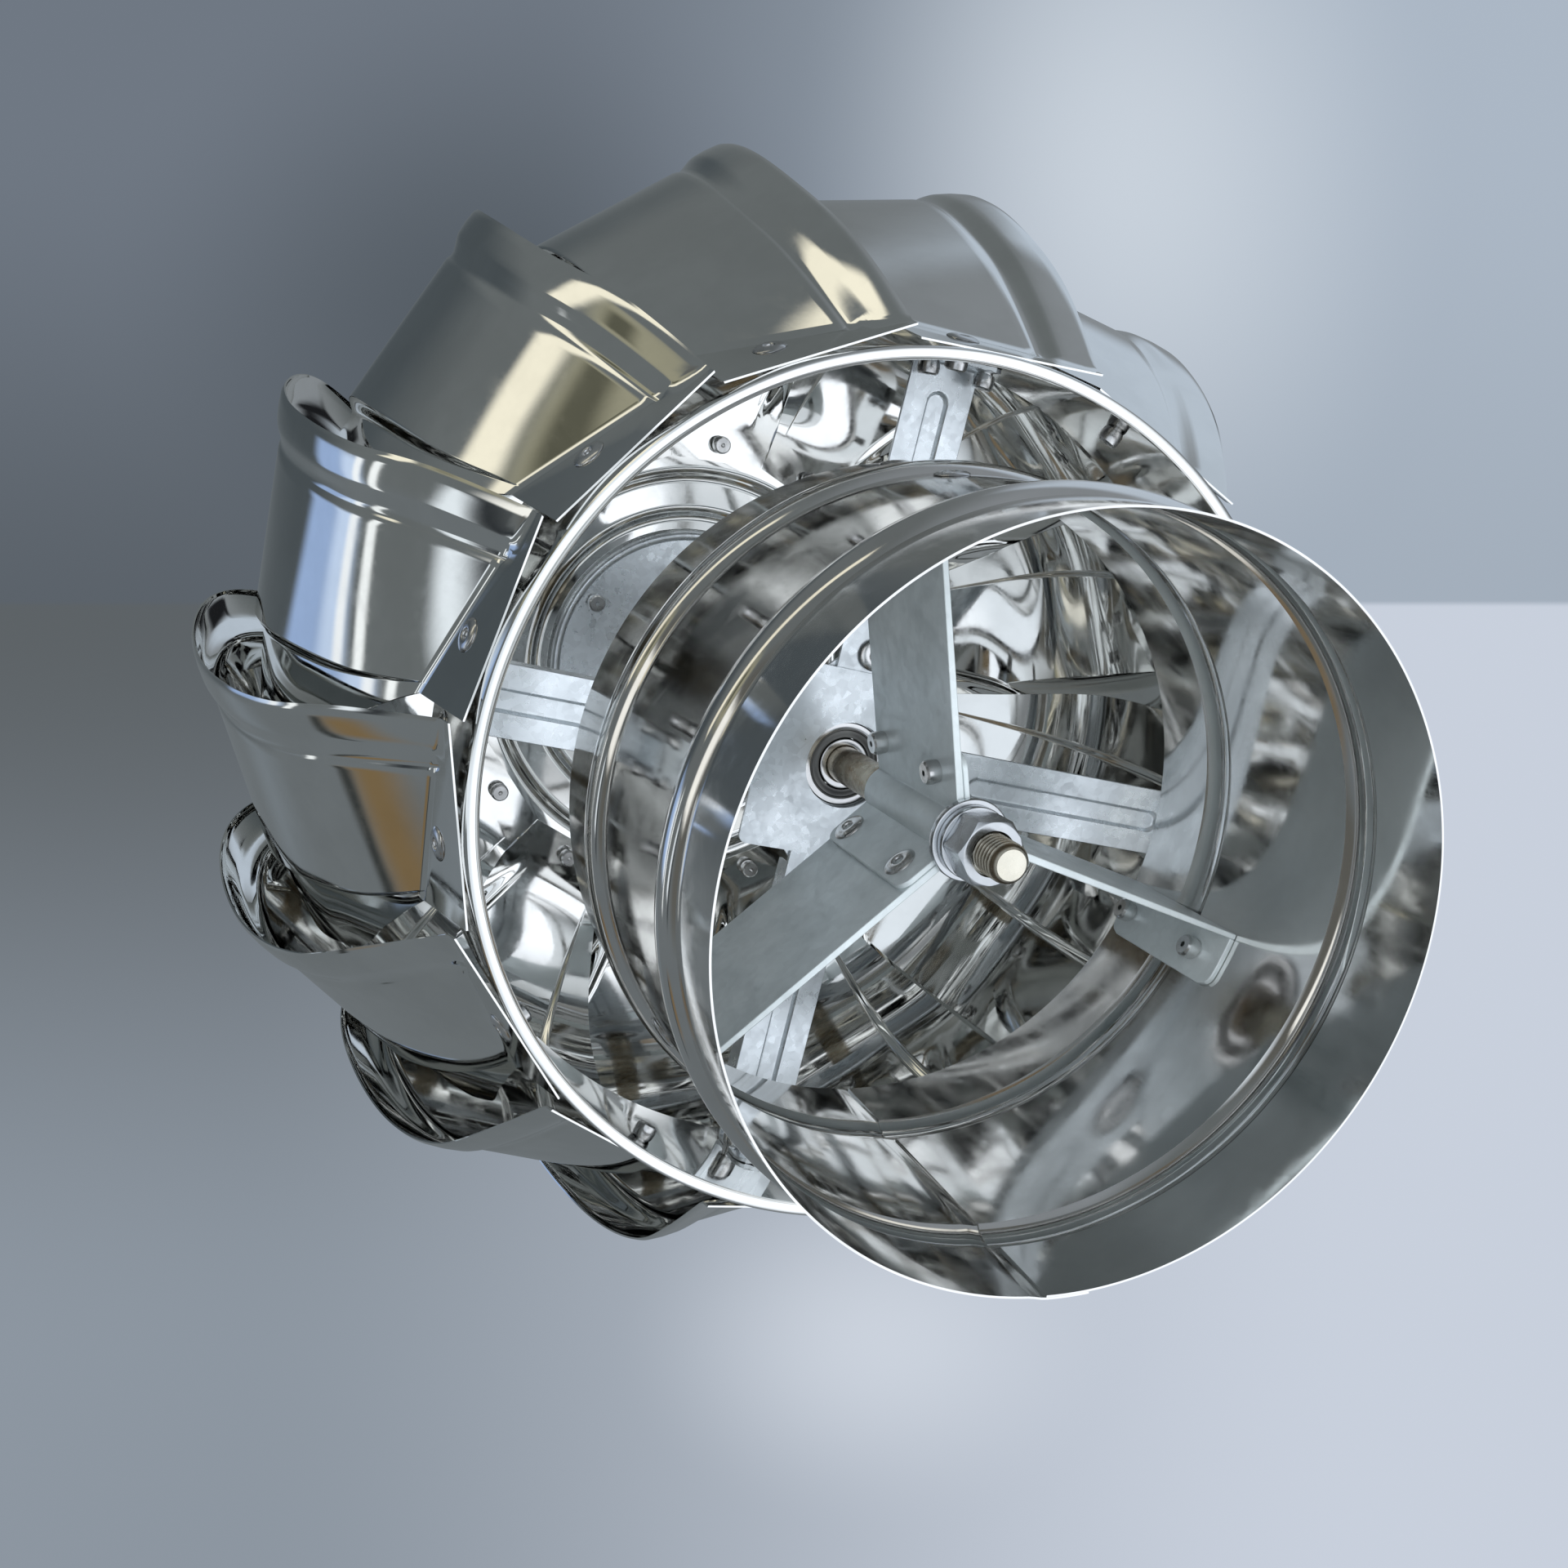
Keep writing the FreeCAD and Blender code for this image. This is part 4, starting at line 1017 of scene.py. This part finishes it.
# What the bright sheet mirrors: each band runs from one direction to another, with a half width
# in degrees, a softness and a colour.
BANDS = [
    ((-40, 15), (-40, -22), 26, 0.22, rgb(0.07, 0.085, 0.095)),
    ((-150, -8), (-150, 60), 36, 0.2, rgb(0.12, 0.12, 0.11)),
    ((30, -4), (36, 36), 22, 0.14, rgb(0.52, 0.6, 0.7)),
    ((28, -14), (62, -14), 8, 0.08, rgb(0.012, 0.013, 0.015)),
    ((-114, 14), (-114, 42), 8, 0.05, rgb(1.1, 1.1, 1.05)),
    ((-95, 30), (-87, 46), 8, 0.06, rgb(0.34, 0.33, 0.24)),
    ((-91, 33), (-86, 42), 2.8, 0.03, rgb(0.11, 0.11, 0.08)),
    ((-80, 20), (-42, 71), 4.2, 0.03, rgb(1.05, 1.0, 0.82)),
    ((-87, -18), (-85, 8), 1.5, 0.015, rgb(1.05, 1.1, 1.12)),
    ((-81, -5), (-70, -8), 8, 0.05, rgb(0.6, 0.74, 0.98)),
    ((-72, -7), (-61, -10), 8, 0.05, rgb(0.34, 0.47, 0.74)),
    ((-80, -14), (-78, 3), 1.6, 0.02, rgb(1.0, 1.05, 1.1)),
    ((-102, -8), (-104, 10), 2.5, 0.03, rgb(0.9, 0.98, 1.05)),
    ((-108, -12), (-107, 12), 2.0, 0.04, rgb(0.03, 0.035, 0.04)),
    ((-103, -38), (-101, -27), 4.0, 0.06, rgb(0.2, 0.14, 0.07)),
    ((-95, -45), (-96, -28), 1.2, 0.02, rgb(0.04, 0.045, 0.045)),
    ((-64, -33), (-52, -34), 7, 0.12, rgb(0.19, 0.22, 0.245)),
    ((180, 60), (180, -20), 24, 0.2, rgb(0.85, 0.93, 1.02)),
    ((140, -28), (140, 34), 27, 0.2, rgb(1.25, 1.32, 1.42)),
    ((-160, -15), (-170, -60), 14, 0.2, rgb(0.18, 0.14, 0.09)),
]


def photo_view(n, vector):
    """What the eye sees round the object: a wall over a floor, both with painted soft light and shade."""
    ahead = n.dot(vector, LOOK)
    safe = n.math("MAXIMUM", ahead, 0.2)
    x = n.math("DIVIDE", n.dot(vector, RIGHT), safe)
    y = n.math("DIVIDE", n.dot(vector, UP), safe)

    def patch(colour, strength, middle, size, paint):
        """Paint a soft round patch of painted light, or of painted shade, over a colour."""
        dx = n.math("DIVIDE", n.math("SUBTRACT", x, middle[0]), size[0])
        dy = n.math("DIVIDE", n.math("SUBTRACT", y, middle[1]), size[1])
        away = n.math("SQRT", n.math("ADD", n.math("MULTIPLY", dx, dx), n.math("MULTIPLY", dy, dy)))
        return n.mix(n.math("MULTIPLY", n.ramp(away, 0.0, 1.0, 1.0, 0.0), strength), colour, paint)

    # Painted light and shade on the wall: darker to the left, lighter to the right.
    wall = n.mix(n.ramp(x, -0.15, 0.32), rgb(0.160, 0.188, 0.228), rgb(0.410, 0.475, 0.560))
    # Painted shade darkens the upper left of the wall.
    painted_wall_shade = n.math("MULTIPLY", n.ramp(y, 0.38, 0.08), n.ramp(x, 0.15, -0.35, 0.12, 0.55))
    wall = n.mix(painted_wall_shade, wall, rgb(0.060, 0.070, 0.076))
    # A painted shadow of the object on the wall, up to the left of it.
    wall = patch(wall, 0.55, (-0.17, 0.27), (0.22, 0.20), rgb(0.050, 0.062, 0.070))
    # A painted pool of light on the wall, up to the right.
    wall = patch(wall, 0.72, (0.19, 0.34), (0.19, 0.28), rgb(0.66, 0.72, 0.79))
    # Painted light and shade on the floor: dark where it meets the wall, lighter towards the front and to
    # the right.
    floor = n.mix(n.ramp(y, 0.10, -0.32), rgb(0.110, 0.124, 0.134), rgb(0.265, 0.305, 0.355))
    floor = n.mix(n.ramp(x, -0.32, 0.34), floor, rgb(0.580, 0.630, 0.720))
    # A painted pool of light on the floor, low in the view.
    floor = patch(floor, 0.50, (0.05, -0.31), (0.15, 0.11), rgb(0.74, 0.79, 0.87))
    over_the_floor = n.dot(vector, UP - LOOK * FLOOR_END)
    photo = n.mix(n.ramp(over_the_floor, -0.002, 0.002), floor, wall)
    return n.mix(n.ramp(ahead, 0.55, 0.80), rgb(0.60, 0.62, 0.66), photo)


def mirrored_room(n, vector):
    """What polished metal mirrors: a dim room with the bands in it."""
    level, side = n.dot(vector, ROOM_UP), n.dot(vector, RIGHT)
    room = n.mix(n.ramp(level, -0.30, 0.05), rgb(0.155, 0.175, 0.188), rgb(0.145, 0.162, 0.168))
    room = n.mix(n.ramp(side, -0.15, 0.35), room, rgb(0.26, 0.285, 0.31))
    for start, end, half, soft, colour in BANDS:
        a, b = toward(*start), toward(*end)
        middle = (a + b).normalized()
        wide, tall = math.tan(middle.angle(a)), math.tan(math.radians(half))
        room = n.mix(window(n, vector, middle, b - a, wide, tall, soft), room, colour)
    return room


def make_world():
    """A wall and floor with painted light and shade for the eye, a soft structured room for mirrors, even
    light for the rest.
    """
    world = bpy.data.worlds.new("room")
    bpy.context.scene.world = world
    world.use_nodes = True
    n = Nodes(world.node_tree)
    vector = n.add("ShaderNodeTexCoord").outputs["Generated"]
    path = n.add("ShaderNodeLightPath").outputs
    # The eye sees the wall and floor with their painted light and shade.
    eye = n.add("ShaderNodeBackground", {"Color": photo_view(n, vector), "Strength": 1.0})
    glossy = n.add("ShaderNodeBackground", {"Color": mirrored_room(n, vector), "Strength": 1.0})
    diffuse = n.add("ShaderNodeBackground", {"Color": rgb(0.75, 0.78, 0.84), "Strength": 0.75})
    light = n.blend(path["Is Glossy Ray"], diffuse, glossy)
    n.show(n.blend(path["Is Camera Ray"], light, eye), "ShaderNodeOutputWorld")


def make_lights():
    target = Vector((0, 0, 0.18))
    lamps = [
        (direction(0.9, 0.7, 0.8), 1.3, 1.0, 9.0, (0.90, 0.95, 1.0)),
        (direction(-0.8, 0.6, 0.6), 1.3, 0.9, 5.0, (1.0, 0.97, 0.90)),
        (direction(0.0, 0.5, 1.0), 1.4, 1.2, 5.0, (0.95, 0.97, 1.0)),
        (Vector((0.5, -0.4, 1.0)), 1.4, 1.2, 12.0, (1.0, 1.0, 1.0)),
    ]
    for i, (way, distance, size, watts, colour) in enumerate(lamps):
        data = bpy.data.lights.new(f"lamp_{i}", "AREA")
        data.size = size
        data.energy = watts
        data.color = colour
        obj = bpy.data.objects.new(f"lamp_{i}", data)
        bpy.context.scene.collection.objects.link(obj)
        obj.location = target + Vector(way).normalized() * distance
        obj.rotation_euler = (target - obj.location).to_track_quat("-Z", "Y").to_euler()
        obj.visible_glossy = False


def make_floor():
    """Pale floor under the rim. Seen from below it is clear, as the photograph looks up, and it
    lets the light pass, so that the parts which face down aren't in the dark."""
    mesh = bpy.data.meshes.new("floor")
    half, level = 4.0, -0.0004
    corners = [(-half, -half, level), (half, -half, level), (half, half, level), (-half, half, level)]
    mesh.from_pydata(corners, [], [(0, 1, 2, 3)])
    obj = bpy.data.objects.new("floor", mesh)
    bpy.context.scene.collection.objects.link(obj)
    material, n, coords = start_material("floor_paint")
    cloud = n.noise(coords, 6.0, 3.0, 0.5)
    colour = n.mix(n.ramp(cloud, 0.3, 0.7), rgb(0.74, 0.75, 0.77), rgb(0.78, 0.79, 0.81))
    paint = n.add("ShaderNodeBsdfPrincipled", {"Base Color": colour, "Roughness": 0.65})
    clear = n.add("ShaderNodeBsdfTransparent")
    path = n.add("ShaderNodeLightPath").outputs
    light = n.math("MAXIMUM", path["Is Shadow Ray"], path["Is Diffuse Ray"])
    below = n.add("ShaderNodeNewGeometry").outputs["Backfacing"]
    n.show(n.blend(n.math("MAXIMUM", below, light), paint, clear))
    mesh.materials.append(material)
    obj.visible_glossy = False


bpy.context.scene.view_settings.view_transform = "Standard"
make_blades()
make_collar()
make_ring()
make_cap()
make_carrier()
make_straps()
make_shaft()
make_hardware()
make_arms()
make_bearing("lower_bearing", ARM_Z + GALV + TOUCH)
make_bearing("upper_bearing", SHAFT_TOP - BEARING_W - TOUCH)
make_rivets()
dress_cad()
make_floor()
make_world()
make_lights()
make_camera()
